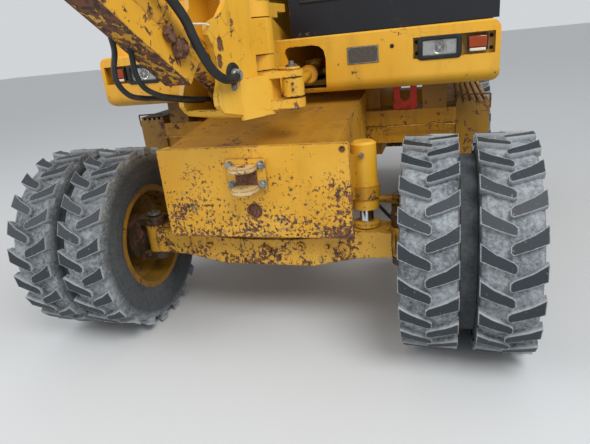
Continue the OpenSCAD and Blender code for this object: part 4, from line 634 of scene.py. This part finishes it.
piece("side_light_lenses", white_nylon, "upper", [
    block(y + 0.004, 1.262, y + 0.076, 1.2765, -0.015, -0.006, on_bumper)
    for y in SIDE_LAMP_YS], bevel=0.004, slot="lamp_plastic")
piece("blank_plate", plate_blank, "upper", block(0.362, 1.250, 0.516, 1.331, 0.0004, 0.0035, on_bumper),
      bevel=0.001)
piece("blank_plate_rim", zinc_bolt, "upper",
      [block(*strip, 0.0030, 0.0044, on_bumper) for strip in mm(
          (364, 1252, 514, 1255), (364, 1326, 514, 1329), (364, 1255, 367, 1326), (511, 1255, 514, 1326))],
      [turned(mm((3, 0), (2, 1.2)), (BUMPER_X + 0.0035, y, z), AHEAD, 10)
       for z in (1.260, 1.321) for y in (0.372, 0.506)])
piece("bumper_plug", seal_rubber, "upper",
      turned(mm((10, 0), (10, 2), (4, 3)), (BUMPER_X + 0.0002, 0.581, 1.319), AHEAD, 20),
      [turned(mm((9, 0), (9, 3), (4, 5)), (BUMPER_X - 0.0515, side * y, z), AHEAD, 16)
       for side in SIDES for y in (0.695, 1.032) for z in (1.325, 1.272)])
piece("step_wire_loops", rusty_steel, "chassis", [
    hose([(FRONT_X - x, side * y, z) for x, y, z in mm(
        (667, 890, 985), (662, 890, 1026), (661, 905, 1033), (661, 1040, 1033), (661, 1055, 1024),
        (664, 1055, 960))], 0.0045, 8, 3) for side in SIDES])

# Upper structure: side doors with latches, filler cap, rails' feet and walking plates
SIDE_DOORS = mm((-1880, 1470, -1280, 1950), (-1240, 1470, -930, 1950), (-890, 1470, -530, 1670))
piece("side_doors", body_enamel, "upper", [block(*door, -1.058, -1.0495) for door in SIDE_DOORS], bevel=0.004)
piece("side_door_latches", cab_plastic, "upper", [[
    [turned(mm((9, -30), (9, 30)), (x, -1.061, z1 - 0.012), AHEAD, 14) for x in (x0 + 0.06, x1 - 0.06)],
    turned(mm((24, 0), (24, 3), (16, 4), (16, 9)), ((x0 + x1) / 2, -1.058, z0 + 0.07), (0, -1, 0), 24),
    slab([((x0 + x1) / 2 + u, z0 + z) for u, z in mm((-50, 63), (12, 60), (12, 80), (-50, 77))],
         -1.072, -1.066)] for x0, z0, x1, z1 in SIDE_DOORS], bevel=0.0015)
piece("filler_cap", cab_plastic, "upper",
      turned(mm((60, -4), (60, 6), (46, 8), (46, 30), (40, 36)), (-0.62, -0.86, 1.738), (0.05, 0, 1), 36),
      [turned(mm((6, 0), (6, 20)), (-0.62 + 0.046 * c, -0.86 + 0.046 * s, 1.747), (0.05, 0, 1), 10)
       for c, s in circle(8)])
piece("rail_feet", cab_plastic, "upper", [
    turned(mm((30, -6), (30, 6), (17, 8), (17, 22)), (x, y, z), UP)
    for x, z in mm((-511, 1722), (-811, 1758)) for y in (-1.000, -0.240)])
piece("walking_bars", body_enamel, "upper", [
    block(x, 1.9895, x + 0.06, 1.9935, y, y + 0.16, inset=0.005)
    for x in [-1.86 + 0.098 * k for k in range(9)] for y in (-0.95, -0.71, -0.47)])

# Tail: lamps, blank plate and the counterweight's lifting eyes
piece("tail_lamp_bodies", cab_plastic, "upper", [
    block(side * 0.56, 1.52, side * 0.72, 1.60, -2.7712, -2.764, across) for side in SIDES], bevel=0.003)
piece("tail_lenses", red_lens, "upper", [
    block(side * 0.57, 1.528, side * 0.71, 1.592, -2.780, -2.770, across) for side in SIDES], bevel=0.004)
piece("rear_blank_plate", plate_blank, "upper", block(-0.26, 1.40, 0.26, 1.52, -2.774, -2.7695, across),
      bevel=0.001)
piece("lifting_eyes", body_enamel, "hood", [
    hose([(-2.60, y + v, z) for v, z in mm((-50, 2006), (-50, 2050), (0, 2085), (50, 2050), (50, 2006))],
         0.012, 12, 5) for y in (-0.45, 0.45)])

# Hood: grille bars, grab handle, hinges and exhaust clamp, and the mesh behind the louvres
piece("hood_grille", cab_plastic, "hood", [
    slab([(x, 2.008), (x + 0.020, 2.008), (x + 0.014, 2.018), (x + 0.004, 2.018)], -0.62, 0.10)
    for x in [-2.45 + 0.034 * k for k in range(12)]])
piece("hood_handle", cab_plastic, "hood", hose(mm(
    (-2752, -140, 1860), (-2765, -140, 1875), (-2767, -100, 1880), (-2767, 100, 1880), (-2765, 140, 1875),
    (-2752, 140, 1860)), 0.010, 12, 4))
piece("hood_hinges", zinc_bolt, "hood", [[
    turned(mm((12, -40), (12, 40)), (-1.930, y, 2.012), ACROSS, 16),
    block(-2.01, 2.009, -1.932, 2.014, y - 0.035, y + 0.035),
    bolt((-1.985, y - 0.018, 2.014), UP, 0.007), bolt((-1.985, y + 0.018, 2.014), UP, 0.007)]
    for y in (-0.80, -0.35, 0.20, 0.78)])
piece("exhaust_clamp", zinc_bolt, "hood",
      turned(mm((46, 0), (50, 4), (50, 28), (46, 30)), (SLEW_X - 1.000, -0.760, 2.09), UP, 32),
      bolt((SLEW_X - 1.000, -0.708, 2.104), ACROSS, 0.006))
piece("louvre_mesh", cast_iron, "upper", [[
    [block(x, 1.47, x + 0.006, 1.83, side * 1.030, side * 1.026) for x in [-2.325 + k * 0.026 for k in range(15)]],
    [block(-2.325, z, -1.955, z + 0.006, side * 1.026, side * 1.022)
     for z in [1.485 + k * 0.026 for k in range(13)]]] for side in SIDES])


# Cab: seals of the panes, wiper, roof lamps, beacon, door handle and mirror glass
LEAN_FROM_Z, LEAN_PER_HEIGHT = 1.98, 0.1123


def on_windscreen(u, v, z):
    """Outline across the machine on the windscreen, which leans back from a height on: v is out from it."""
    return Vector((CAB_X1 + v - max(0.0, z - LEAN_FROM_Z) * LEAN_PER_HEIGHT, u, z))


for pane, body, place, v, outline in (
        ("front_pane", "upper", across, CAB_X1 - 0.001, rectangle(CAB_Y0 + 0.060, 1.560, CAB_Y1 - 0.060, 1.900)),
        ("windscreen", "upper", on_windscreen, -0.006, rectangle(CAB_Y0 + 0.060, 1.960, CAB_Y1 - 0.060, 2.770)),
        ("side_pane", "upper", flat, CAB_Y0 + 0.001, [(CAB_X0 + 0.120, 1.960), (CAB_X1 - 0.120, 1.960),
                                                      (CAB_X1 - 0.190, 2.740), (CAB_X0 + 0.120, 2.740)]),
        ("rear_pane", "upper", across, CAB_X0 + 0.001, rectangle(CAB_Y0 + 0.100, 2.080, CAB_Y1 - 0.100, 2.700)),
        ("quarter_pane", "upper", flat, CAB_Y1 - 0.001, rectangle(CAB_X0 + 0.110, 2.060, CAB_X0 + 0.410, 2.740)),
        ("door_pane", "door", flat, CAB_Y1 + 0.001, [
            (CAB_X0 + 0.555, 1.700), (CAB_X1 - 0.225, 1.700), (CAB_X1 - 0.225, 1.985), (CAB_X1 - 0.290, 2.695),
            (CAB_X0 + 0.555, 2.695)])):
    piece(pane + "_seal", seal_rubber, body, hose([place(u, v, z) for u, z in outline + outline[:1]], 0.009, 8, 1))
piece("wiper", cab_plastic, "upper",
      turned(mm((22, 0), (22, 12), (14, 20)), (CAB_X1 + 0.001, CAB_Y1 - 0.20, 1.935), AHEAD, 24),
      hose([(CAB_X1 + 0.020, CAB_Y1 - 0.20, 1.935), (CAB_X1 + 0.018, CAB_Y1 - 0.26, 2.10),
            (CAB_X1 - 0.018, CAB_Y1 - 0.36, 2.40)], 0.006, 10),
      block(CAB_Y1 - 0.372, 2.14, CAB_Y1 - 0.360, 2.66, -0.004, 0.010, on_windscreen))
ROOF_LAMP_YS = (CAB_Y0 + 0.16, CAB_Y1 - 0.16)
piece("roof_lamps", cab_plastic, "upper", [
    slab([(CAB_X1 - x, z) for x, z in mm(
        (170, 2899), (106, 2899), (96, 2935), (106, 2985), (160, 2985))], y - 0.055, y + 0.055)
    for y in ROOF_LAMP_YS], bevel=0.006)
piece("roof_lamp_glass", lamp_glass, "upper", [
    slab([(CAB_X1 - x, z) for x, z in mm(
        (104.5, 2905), (100, 2905), (92, 2935), (101, 2978), (105.5, 2978))], y - 0.047, y + 0.047)
    for y in ROOF_LAMP_YS])
piece("beacon_foot", cab_plastic, "upper",
      turned(mm((52, 0), (52, 12), (46, 16)), (CAB_X0 + 0.30, 0.57, 2.944), UP, 32))
piece("beacon_dome", amber_lens, "upper",
      turned(mm((44, 0), (44, 70), (36, 95), (15, 105)), (CAB_X0 + 0.30, 0.57, 2.959), UP, 32))
piece("door_handle", cab_plastic, "door",
      hose([(CAB_X1 - 0.305, CAB_Y1 + y, z) for y, z in mm(
          (2, 1600), (28, 1615), (34, 1660), (34, 1960), (28, 2005), (2, 2020))], 0.010, 12, 5),
      turned(mm((17, 0), (17, 8), (12, 10)), (CAB_X1 - 0.265, CAB_Y1 + 0.002, 1.665), ACROSS, 20))
piece("mirror_glass", reflector, "upper",
      block(1.144, 2.366, 1.176, 2.634, CAB_X1 - 0.1315, CAB_X1 - 0.1298, across))


# Cab inside: seat, levers, pedals, mat and display

def seat_pad(name, half_width, rounding, outline):
    """Foam under cloth."""
    pad = piece(name, seat_cloth, "upper", slab(outline, SEAT_Y - half_width, SEAT_Y + half_width),
                bevel=rounding)
    return pad


piece("seat_bellows", seal_rubber, "upper", [
    slab([(-1.545, z), (-1.175, z), (-1.165, z + 0.024), (-1.175, z + 0.048), (-1.545, z + 0.048),
          (-1.555, z + 0.024)], SEAT_Y - 0.148, SEAT_Y + 0.148)
    for z in [1.447 + k * 0.050 for k in range(6)]], bevel=0.004)
cushion = seat_pad("seat_cushion", 0.245, 0.022, mm(
    (-1568, 1757), (-1582, 1800), (-1566, 1850), (-1400, 1838), (-1180, 1846), (-1110, 1866), (-1084, 1830),
    (-1092, 1775), (-1120, 1757)))
seat_pad("seat_back", 0.230, 0.022, mm(
    (-1586, 1862), (-1500, 1872), (-1478, 1960), (-1492, 2080), (-1520, 2200), (-1550, 2280), (-1620, 2276),
    (-1640, 2200), (-1600, 1960)))
seat_pad("seat_headrest", 0.140, 0.018, mm(
    (-1640, 2300), (-1566, 2304), (-1560, 2360), (-1574, 2440), (-1648, 2436), (-1656, 2370)))
piece("seat_fittings", cab_plastic, "upper", [[
    turned(mm((6, 0), (6, 70)), (-1.598, SEAT_Y + side * 0.06, 2.255), (-0.14, 0, 1), 12),
    hose([(x, SEAT_Y + side * y, z) for x, y, z in mm(
        (-1560, 238, 1800), (-1575, 242, 1860), (-1560, 238, 1930))], 0.012, 10)] for side in SIDES])
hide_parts("cab_seat")
piece("lever_knobs", seal_rubber, "upper", [[
    turned(mm((30, 0), (34, 10), (24, 22), (26, 50), (18, 58)), (CAB_X0 + 0.670, y, 2.1465), UP, 24),
    [turned([(fold, 0), (fold + 0.005, 0.010), (fold, 0.020)], (CAB_X0 + 0.670, y, 2.006 + 0.020 * k), UP, 24)
     for k, fold in enumerate((0.044, 0.038, 0.032, 0.026))]] for y in (SEAT_Y - 0.330, SEAT_Y + 0.330)])
piece("pedals", seal_rubber, "upper", [[
    slab(mm((-760, 1490), (-660, 1560), (-654, 1550), (-750, 1480)), y - 0.045, y + 0.045),
    slab(mm((-725, 1447), (-705, 1447), (-695, 1525), (-705, 1525)), y - 0.012, y + 0.012)]
    for y in (0.44, 0.72)], bevel=0.003)
piece("floor_mat", seal_rubber, "upper", block(-1.82, 1.4465, -0.41, 1.4505, 0.13, 0.43),
      block(-1.14, 1.4465, -0.41, 1.4505, 0.432, 0.83), bevel=0.001)
piece("display", cab_plastic, "upper",
      slab(mm((-520, 2020), (-480, 2020), (-500, 2200), (-540, 2200)), 0.150, 0.300),
      turned(mm((9, 0), (9, 160)), (-0.500, 0.225, 1.87), UP, 12), bevel=0.006)

# Swing post: heads of the lever's pins, of which the low one stays under the lug that it passes
PIN_X, PIN_Y = FRONT_X + 0.130, 0.225
piece("lever_pin_heads", bare_steel, "swing_post",
      turned(mm((26, 0), (26, 8), (14, 10)), (PIN_X, PIN_Y, 1.291), UP),
      bolt((PIN_X, PIN_Y, 1.299), UP, 0.011),
      turned(mm((24, -1), (24, 2), (15, 4)), (FRONT_X + 0.078, 0.158, 1.2802), UP),
      turned(mm((24, 0), (24, 8)), (PIN_X, PIN_Y, 1.122), UP))
# Keeper plate that the pin's head stands on, and the grease fittings of the eye below it
piece("lever_keeper_plate", body_enamel, "swing_post", slab(
    mm((95, 165), (125, 160), (170, 215), (165, 250), (130, 262), (95, 245), (80, 185)),
    1.2802, 1.2915, lambda u, v, z: Vector((FRONT_X + u, z, v))), bevel=0.006)
piece("eye_fittings", rusty_steel, "swing_rod", [
    turned(mm((6, 0), (6, 8), (3.5, 12)), (PIN_X + 0.043, PIN_Y + 0.010, z), (1, 0.25, 0), 10)
    for z in (1.205, 1.228)])
piece("hose_grommet", seal_rubber, "swing_post", turned(
    mm((41, -1), (41, 4), (34, 8), (26, 8)), on_boom(0.295, 0.100, 1.295), LEFT))
piece("post_pin_keepers", zinc_bolt, "swing_post",
      [turned([(r, 0), (r, 0.004), (r - 0.010, 0.006)], on_boom(u, v, z), LEFT * v, 32)
       for (u, z), r, v in ((BOOM_FOOT, 0.044, -0.115), (BOOM_CYL_FOOT, 0.040, -0.110), (BOOM_FOOT, 0.044, 0.115))],
      [bolt(on_boom(0.205, side * 0.100, 1.665), LEFT * side, 0.010) for side in SIDES])
# Rusty oval plugs in the left cheek
piece("cheek_plugs", rusty_steel, "swing_post", [
    slab([(u + 0.0145 * c, z + (0.010 if 0 < k < 12 else -0.010 if k > 12 else 0.0) + 0.0145 * s)
          for k, (c, s) in enumerate(circle(24))], 0.078, 0.096, on_boom)
    for u, z in mm((348, 1405), (360, 1345))], bevel=0.002)

# Hoses over the swing post and the boom cylinder's guard, with collar and clamp
MAIN_ROUTE = [on_boom(*point) for point in mm(
    (275, 75, 1296), (300, 118, 1284), (335, 132, 1280), (390, 134, 1284), (438, 130, 1315), (475, 126, 1365),
    (509, 123, 1431), (535, 121, 1490), (579, 119, 1547), (650, 118, 1625), (760, 117, 1740), (900, 114, 1880),
    (1020, 110, 2000))]
for name, material, route, radius in (("main_hose", hose_rubber, MAIN_ROUTE, 0.0165),
                                      ("hose_sleeve", hose_sleeve, MAIN_ROUTE[9:12], 0.0195)):
    blended(name, material, "swing_post", "boom", on_boom(0.42, 0.13, 1.30), on_boom(0.95, 0.116, 1.94),
            hose(route, radius))
piece("hose_collar", zinc_bolt, "swing_post",
      turned(mm((20, 0), (25, 2), (25, 22), (21, 26)), on_boom(0.292, 0.104, 1.290),
             on_boom(0.4, 1, -0.2) - on_boom(0, 0, 0), 24),
      bolt(on_boom(0.300, 0.100, 1.248), LEFT, 0.010))
piece("guard_clamp", rusty_steel, "boom_barrel",
      slab(mm((550, 1438), (560, 1470), (582, 1478), (594, 1452), (580, 1428), (560, 1422)), 0.066, 0.088,
           on_boom),
      slab(mm((505, 1418), (508, 1386), (530, 1368), (556, 1378), (562, 1408), (546, 1434), (520, 1436)),
           0.066, 0.092, on_boom),
      bolt(on_boom(0.532, 0.092, 1.402), LEFT), bevel=0.006)
# Loops that feed the boom cylinder, seen below its guard
for name, route in (
        ("feed_hose_a", mm((300, -60, 1200), (400, -64, 1215), (520, -66, 1240), (600, -66, 1252), (662, -66, 1270),
                           (700, -66, 1312), (706, -64, 1360), (690, -62, 1420), (700, -62, 1500))),
        ("feed_hose_b", mm((300, -30, 1205), (400, -30, 1220), (500, -30, 1240), (560, -30, 1255), (622, -30, 1288),
                           (650, -30, 1338), (650, -32, 1400), (660, -34, 1470)))):
    blended(name, hose_rubber, "swing_post", "boom_barrel", on_boom(0.36, -0.05, 1.22),
            on_boom(0.68, -0.05, 1.40), hose([on_boom(*point) for point in route], 0.0095, 12))
blended("grease_line", white_nylon, "swing_post", "boom", on_boom(0.42, 0.10, 1.47), on_boom(0.66, 0.10, 1.66),
        hose([on_boom(u, 0.104, z) for u, z in mm(
            (400, 1470), (430, 1475), (491, 1478), (530, 1500), (580, 1560), (700, 1690))], 0.0035, 10))


# Cylinders

SIN_45 = 0.7071


def dress_cylinder(name, place, body, length, radius, rod, foot, pipe_side):
    """Gives a barrel its wiper ring, gland bolts, unions and an oil pipe held by bands."""
    ahead = place(1, 0, 0) - place(0, 0, 0)
    piece(name + "_wiper", seal_rubber, body, turned(
        [(radius - 0.012, 0), (radius - 0.010, 0.004), (rod + 0.006, 0.008), (rod + 0.003, 0.008), (rod + 0.003, 0)],
        place(length, 0, 0), ahead, 36, True))
    piece(name + "_fittings", zinc_bolt, body,
          [bolt(place(length, (radius - 0.014) * c, (radius - 0.014) * s), ahead, 0.007)
           for c, s in circle(8, math.radians(22))],
          [turned(mm((20, -4), (20, 14), (14, 16), (14, 26)),
                  place(along, pipe_side * rise * 0.7, rise * 0.7), place(0, pipe_side, 1) - place(0, 0, 0), 20)
           for along, rise in ((foot, radius), (length - 0.045, radius + 0.007))])
    near, off = (radius + 0.016) * SIN_45, (radius + 0.024) * SIN_45
    piece(name + "_pipe", guard_enamel, body,
          hose([place(along, pipe_side * d, d) for along, d in (
              (foot, near), (foot + 0.03, off), (foot + 0.10, off), (length - 0.12, off), (length - 0.045, off))],
              0.008, 10, 4),
          [turned([(radius + 0.0005, -0.014), (radius + 0.004, -0.012), (radius + 0.004, 0.012),
                   (radius + 0.0005, 0.014)], place(along, 0, 0), ahead, 36, True)
           for along in (foot + 0.16, (foot + length) / 2, length - 0.16)])


dress_cylinder("boom_cylinder", on_boom_cyl, "boom_barrel", 0.980, 0.070, 0.035, 0.290, -1)
dress_cylinder("arm_cylinder", on_arm_cyl, "arm_barrel", 1.010, 0.055, 0.030, 0.150, 1)
dress_cylinder("bucket_cylinder", on_bucket_cyl, "bucket_barrel", 0.690, 0.050, 0.027, 0.130, 1)

# Boom: steel oil pipes with clamps on both sides, weld beads, pin keepers and the work lamp
PIPE_ROUTE = mm((660, 1960), (900, 2180), (1120, 2395), (1340, 2530), (1600, 2590), (1950, 2630), (2300, 2675))
for side, word in ((1, "left"), (-1, "right")):
    piece("boom_pipes_" + word, frame_enamel, "boom", [
        hose([on_boom(u, side * 0.103, z + shift) for u, z in PIPE_ROUTE], 0.009, 10, 5)
        for shift in (0.0, 0.040, 0.080)])
    clamps = []
    for u, z, lean in ((0.80, 2.128, 42), (1.20, 2.480, 34), (1.75, 2.650, 8), (2.20, 2.700, 7)):
        c, s = math.cos(math.radians(lean)), math.sin(math.radians(lean))
        clamps.append(slab([(u + x * c - y * s, z + x * s + y * c) for x, y in rectangle(-0.022, -0.068, 0.022, 0.068)],
                           side * 0.0895, side * 0.1145, on_boom))
        clamps += [bolt(on_boom(u - y * s, side * 0.1145, z + y * c), LEFT * side, 0.006)
                   for y in (-0.042, 0.0, 0.042)]
    piece("boom_pipe_clamps_" + word, zinc_bolt, "boom", clamps, bevel=0.002)
piece("boom_welds", guard_enamel, "boom", [
    hose([on_boom(u, side * BOOM_SIDE, z) for u, z in edge], 0.0045, 8, 1) for side in SIDES for edge in (
        mm((430, 2052), (560, 2170), (980, 2560), (1180, 2700), (1400, 2760), (2000, 2800), (2330, 2804)),
        mm((430, 1780), (640, 1900), (1100, 2260), (1200, 2300)),
        mm((1480, 2342), (1500, 2345), (2000, 2460), (2330, 2533)))])
piece("boom_pin_keepers", zinc_bolt, "boom", [[
    [pin_head(r, on_boom(u, side * v, z), LEFT * side)
     for (u, z), v, r in ((BOOM_CYL_HEAD, 0.102, 0.036), (BOOM_TIP, 0.114, 0.024), (ARM_CYL_FOOT, 0.075, 0.024))],
    bolt(on_boom(2.880, side * 0.102, 2.655), LEFT * side, 0.009),
    bolt(on_boom(1.420, side * BOOM_SIDE, 2.150), LEFT * side, 0.009)] for side in SIDES])
piece("boom_lamp", cab_plastic, "boom",
      slab(mm((1020, 2300), (1080, 2285), (1100, 2365), (1040, 2380)), 0.094, 0.190, on_boom),
      hose([on_boom(1.06, 0.130, 2.370), on_boom(1.06, 0.130, 2.410), on_boom(1.06, 0.088, 2.420)],
           0.007, 10, 3), bevel=0.006)
piece("boom_lamp_glass", lamp_glass, "boom",
      slab(mm((1083.5, 2290), (1088.5, 2288), (1106.5, 2358), (1101.5, 2360)), 0.100, 0.184, on_boom))

# Hoses from the boom's pipes to the arm, and those of the arm cylinder
for side, word in ((1, "left"), (-1, "right")):
    blended("arm_hoses_" + word, hose_rubber, "boom", "arm", on_boom(2.50, 0, 2.80), on_boom(2.93, 0, 2.70), [
        hose([on_boom(u, side * v, z + shift) for u, v, z in mm(
            (2290, 103, 2674), (2400, 112, 2700), (2560, 125, 2790), (2720, 130, 2860), (2860, 128, 2880),
            (2940, 110, 2820))]
            + [on_arm(0.108, side * 0.083, 1.60 - shift), on_arm(0.100, side * 0.083, 1.45 - shift)], 0.011, 12)
        for shift in (0.0, 0.035)])
blended("arm_cylinder_hoses", hose_rubber, "boom", "arm_barrel", on_boom(1.50, 0, 2.82), on_arm_cyl(0.15, 0, 0.05), [
    hose([on_boom(1.56, v, 2.775), on_boom(1.50, v, 2.820), on_boom(1.46, v, 2.880),
          on_arm_cyl(0.12, v, 0.068), on_arm_cyl(0.16, v * 0.8, 0.066)], 0.010, 12) for v in (0.030, 0.055)])

# Arm: weld beads, pin and pipe keepers, and hoses to the bucket cylinder
piece("arm_welds", guard_enamel, "arm", [
    hose([on_arm(x, side * ARM_SIDE, y) for x, y in edge], 0.0045, 8, 1) for side in SIDES for edge in (
        mm((-80, 60), (-110, 700), (-150, 1260), (-128, 1500)),
        mm((58, 60), (60, 520), (100, 1180)))])
piece("arm_keepers", zinc_bolt, "arm", [[
    pin_head(0.030, on_boom(ARM_TAIL[0], side * 0.087, ARM_TAIL[1]), LEFT * side),
    [bolt(on_arm(x, side * ARM_SIDE, y), LEFT * side, 0.008) for x, y in mm((20, 1350), (-20, 1100), (0, 500))],
    block(0.060, 1.42, 0.130, 1.47, side * 0.074, side * 0.096, on_arm)] for side in SIDES], bevel=0.001)
blended("bucket_cylinder_hoses", hose_rubber, "arm", "bucket_barrel", on_arm(0.120, 0, 1.42),
        on_bucket_cyl(0.13, 0, 0.05), [
            hose([on_arm(0.100, v * 2.0, 1.45), on_arm(0.128, v * 1.8, 1.40), on_arm(0.150, v * 1.4, 1.32),
                  on_bucket_cyl(0.15, v, 0.062), on_bucket_cyl(0.18, v * 0.8, 0.060)], 0.009, 12)
            for v in (-0.036, 0.036)])

# Bucket: wear strips, bolts of teeth and side cutters, pin heads and welds
piece("bucket_wear_strips", bare_steel, "bucket", [
    slab(mm((354, 176), (398, 353), (371, 530), (283, 689), (287, 692), (376, 532), (403, 353), (358, 174)),
         y - 0.030, y + 0.030, on_bucket) for y in (-0.20, 0.0, 0.20)])
piece("bucket_bolts", zinc_bolt, "bucket",
      [turned(mm((10, 0), (10, 2), (6, 3)), on_bucket(-0.230, y + side * 0.030, 0.855), LEFT * side, 16)
       for y in [-0.270 + i * 0.135 for i in range(5)] for side in SIDES],
      [[[bolt(on_bucket(-0.130 - 0.022 * k, side * BUCKET_SIDE, 0.450 + 0.10 * k), LEFT * side, 0.009)
         for k in range(4)],
        turned(mm((24, 0), (24, 3), (10, 4), (10, 9)), on_bucket(0.232, side * 0.116, 0.0), LEFT * side, 24)]
       for side in SIDES])
piece("bucket_welds", axle_enamel, "bucket", [
    hose([on_bucket(0.870 * x, side * BUCKET_SIDE, 0.870 * y) for x, y in (
        (0.29, 0.075), (0.406, 0.203), (0.457, 0.406), (0.426, 0.609), (0.325, 0.792), (0.152, 0.914),
        (-0.162, 0.99))], 0.004, 8, 1) for side in SIDES])


# Floor, light and camera

floor_paint = start_material("pale_floor", Roughness=0.75, Base_Color=linear("#c9cbcc"))[0]
bm = bmesh.new()
bmesh.ops.create_grid(bm, x_segments=1, y_segments=1, size=60.0)
floor_mesh = bpy.data.meshes.new("floor")
bm.to_mesh(floor_mesh)
bm.free()
floor = bpy.data.objects.new("floor", floor_mesh)
bpy.context.scene.collection.objects.link(floor)
floor_mesh.materials.append(floor_paint)

world = bpy.data.worlds.new("studio")
bpy.context.scene.world = world
world.use_nodes = True
sky = world.node_tree.nodes["Background"]
sky.inputs["Color"].default_value = linear("#eef1f4")
sky.inputs["Strength"].default_value = 0.75


def lamp(name, at, aim, size, power):
    """A round soft light at a place, aimed at another."""
    data = bpy.data.lights.new(name, "AREA")
    data.shape, data.size, data.energy = "DISK", size, power
    obj = bpy.data.objects.new(name, data)
    bpy.context.scene.collection.objects.link(obj)
    obj.location = at
    obj.rotation_euler = (Vector(aim) - Vector(at)).to_track_quat("-Z", "Y").to_euler()


lamp("key_light", (4.0, 3.5, 6.5), (0, 0, 0.8), 4.0, 420)
lamp("fill_light", (3.0, -5.0, 4.0), (0, 0, 1.0), 5.0, 160)

# The camera's place, directions and lens were fitted to the photo
CAMERA_AT = (2.2304, 0.821, 1.3958)
LOOK = Vector((-0.89381565, -0.28611664, -0.3452982)).normalized()
RIGHT = Vector((-0.26938629, 0.95817174, -0.09663301)).normalized()
camera_data = bpy.data.cameras.new("camera")
camera_data.sensor_width, camera_data.lens = 36.0, 30.216
camera_data.clip_start, camera_data.clip_end = 0.02, 200.0
camera = bpy.data.objects.new("camera", camera_data)
bpy.context.scene.collection.objects.link(camera)
camera.matrix_world = Matrix.Translation(CAMERA_AT) @ Matrix((RIGHT, RIGHT.cross(LOOK), -LOOK)).transposed().to_4x4()
bpy.context.scene.camera = camera
bpy.context.scene.view_settings.view_transform = "Standard"
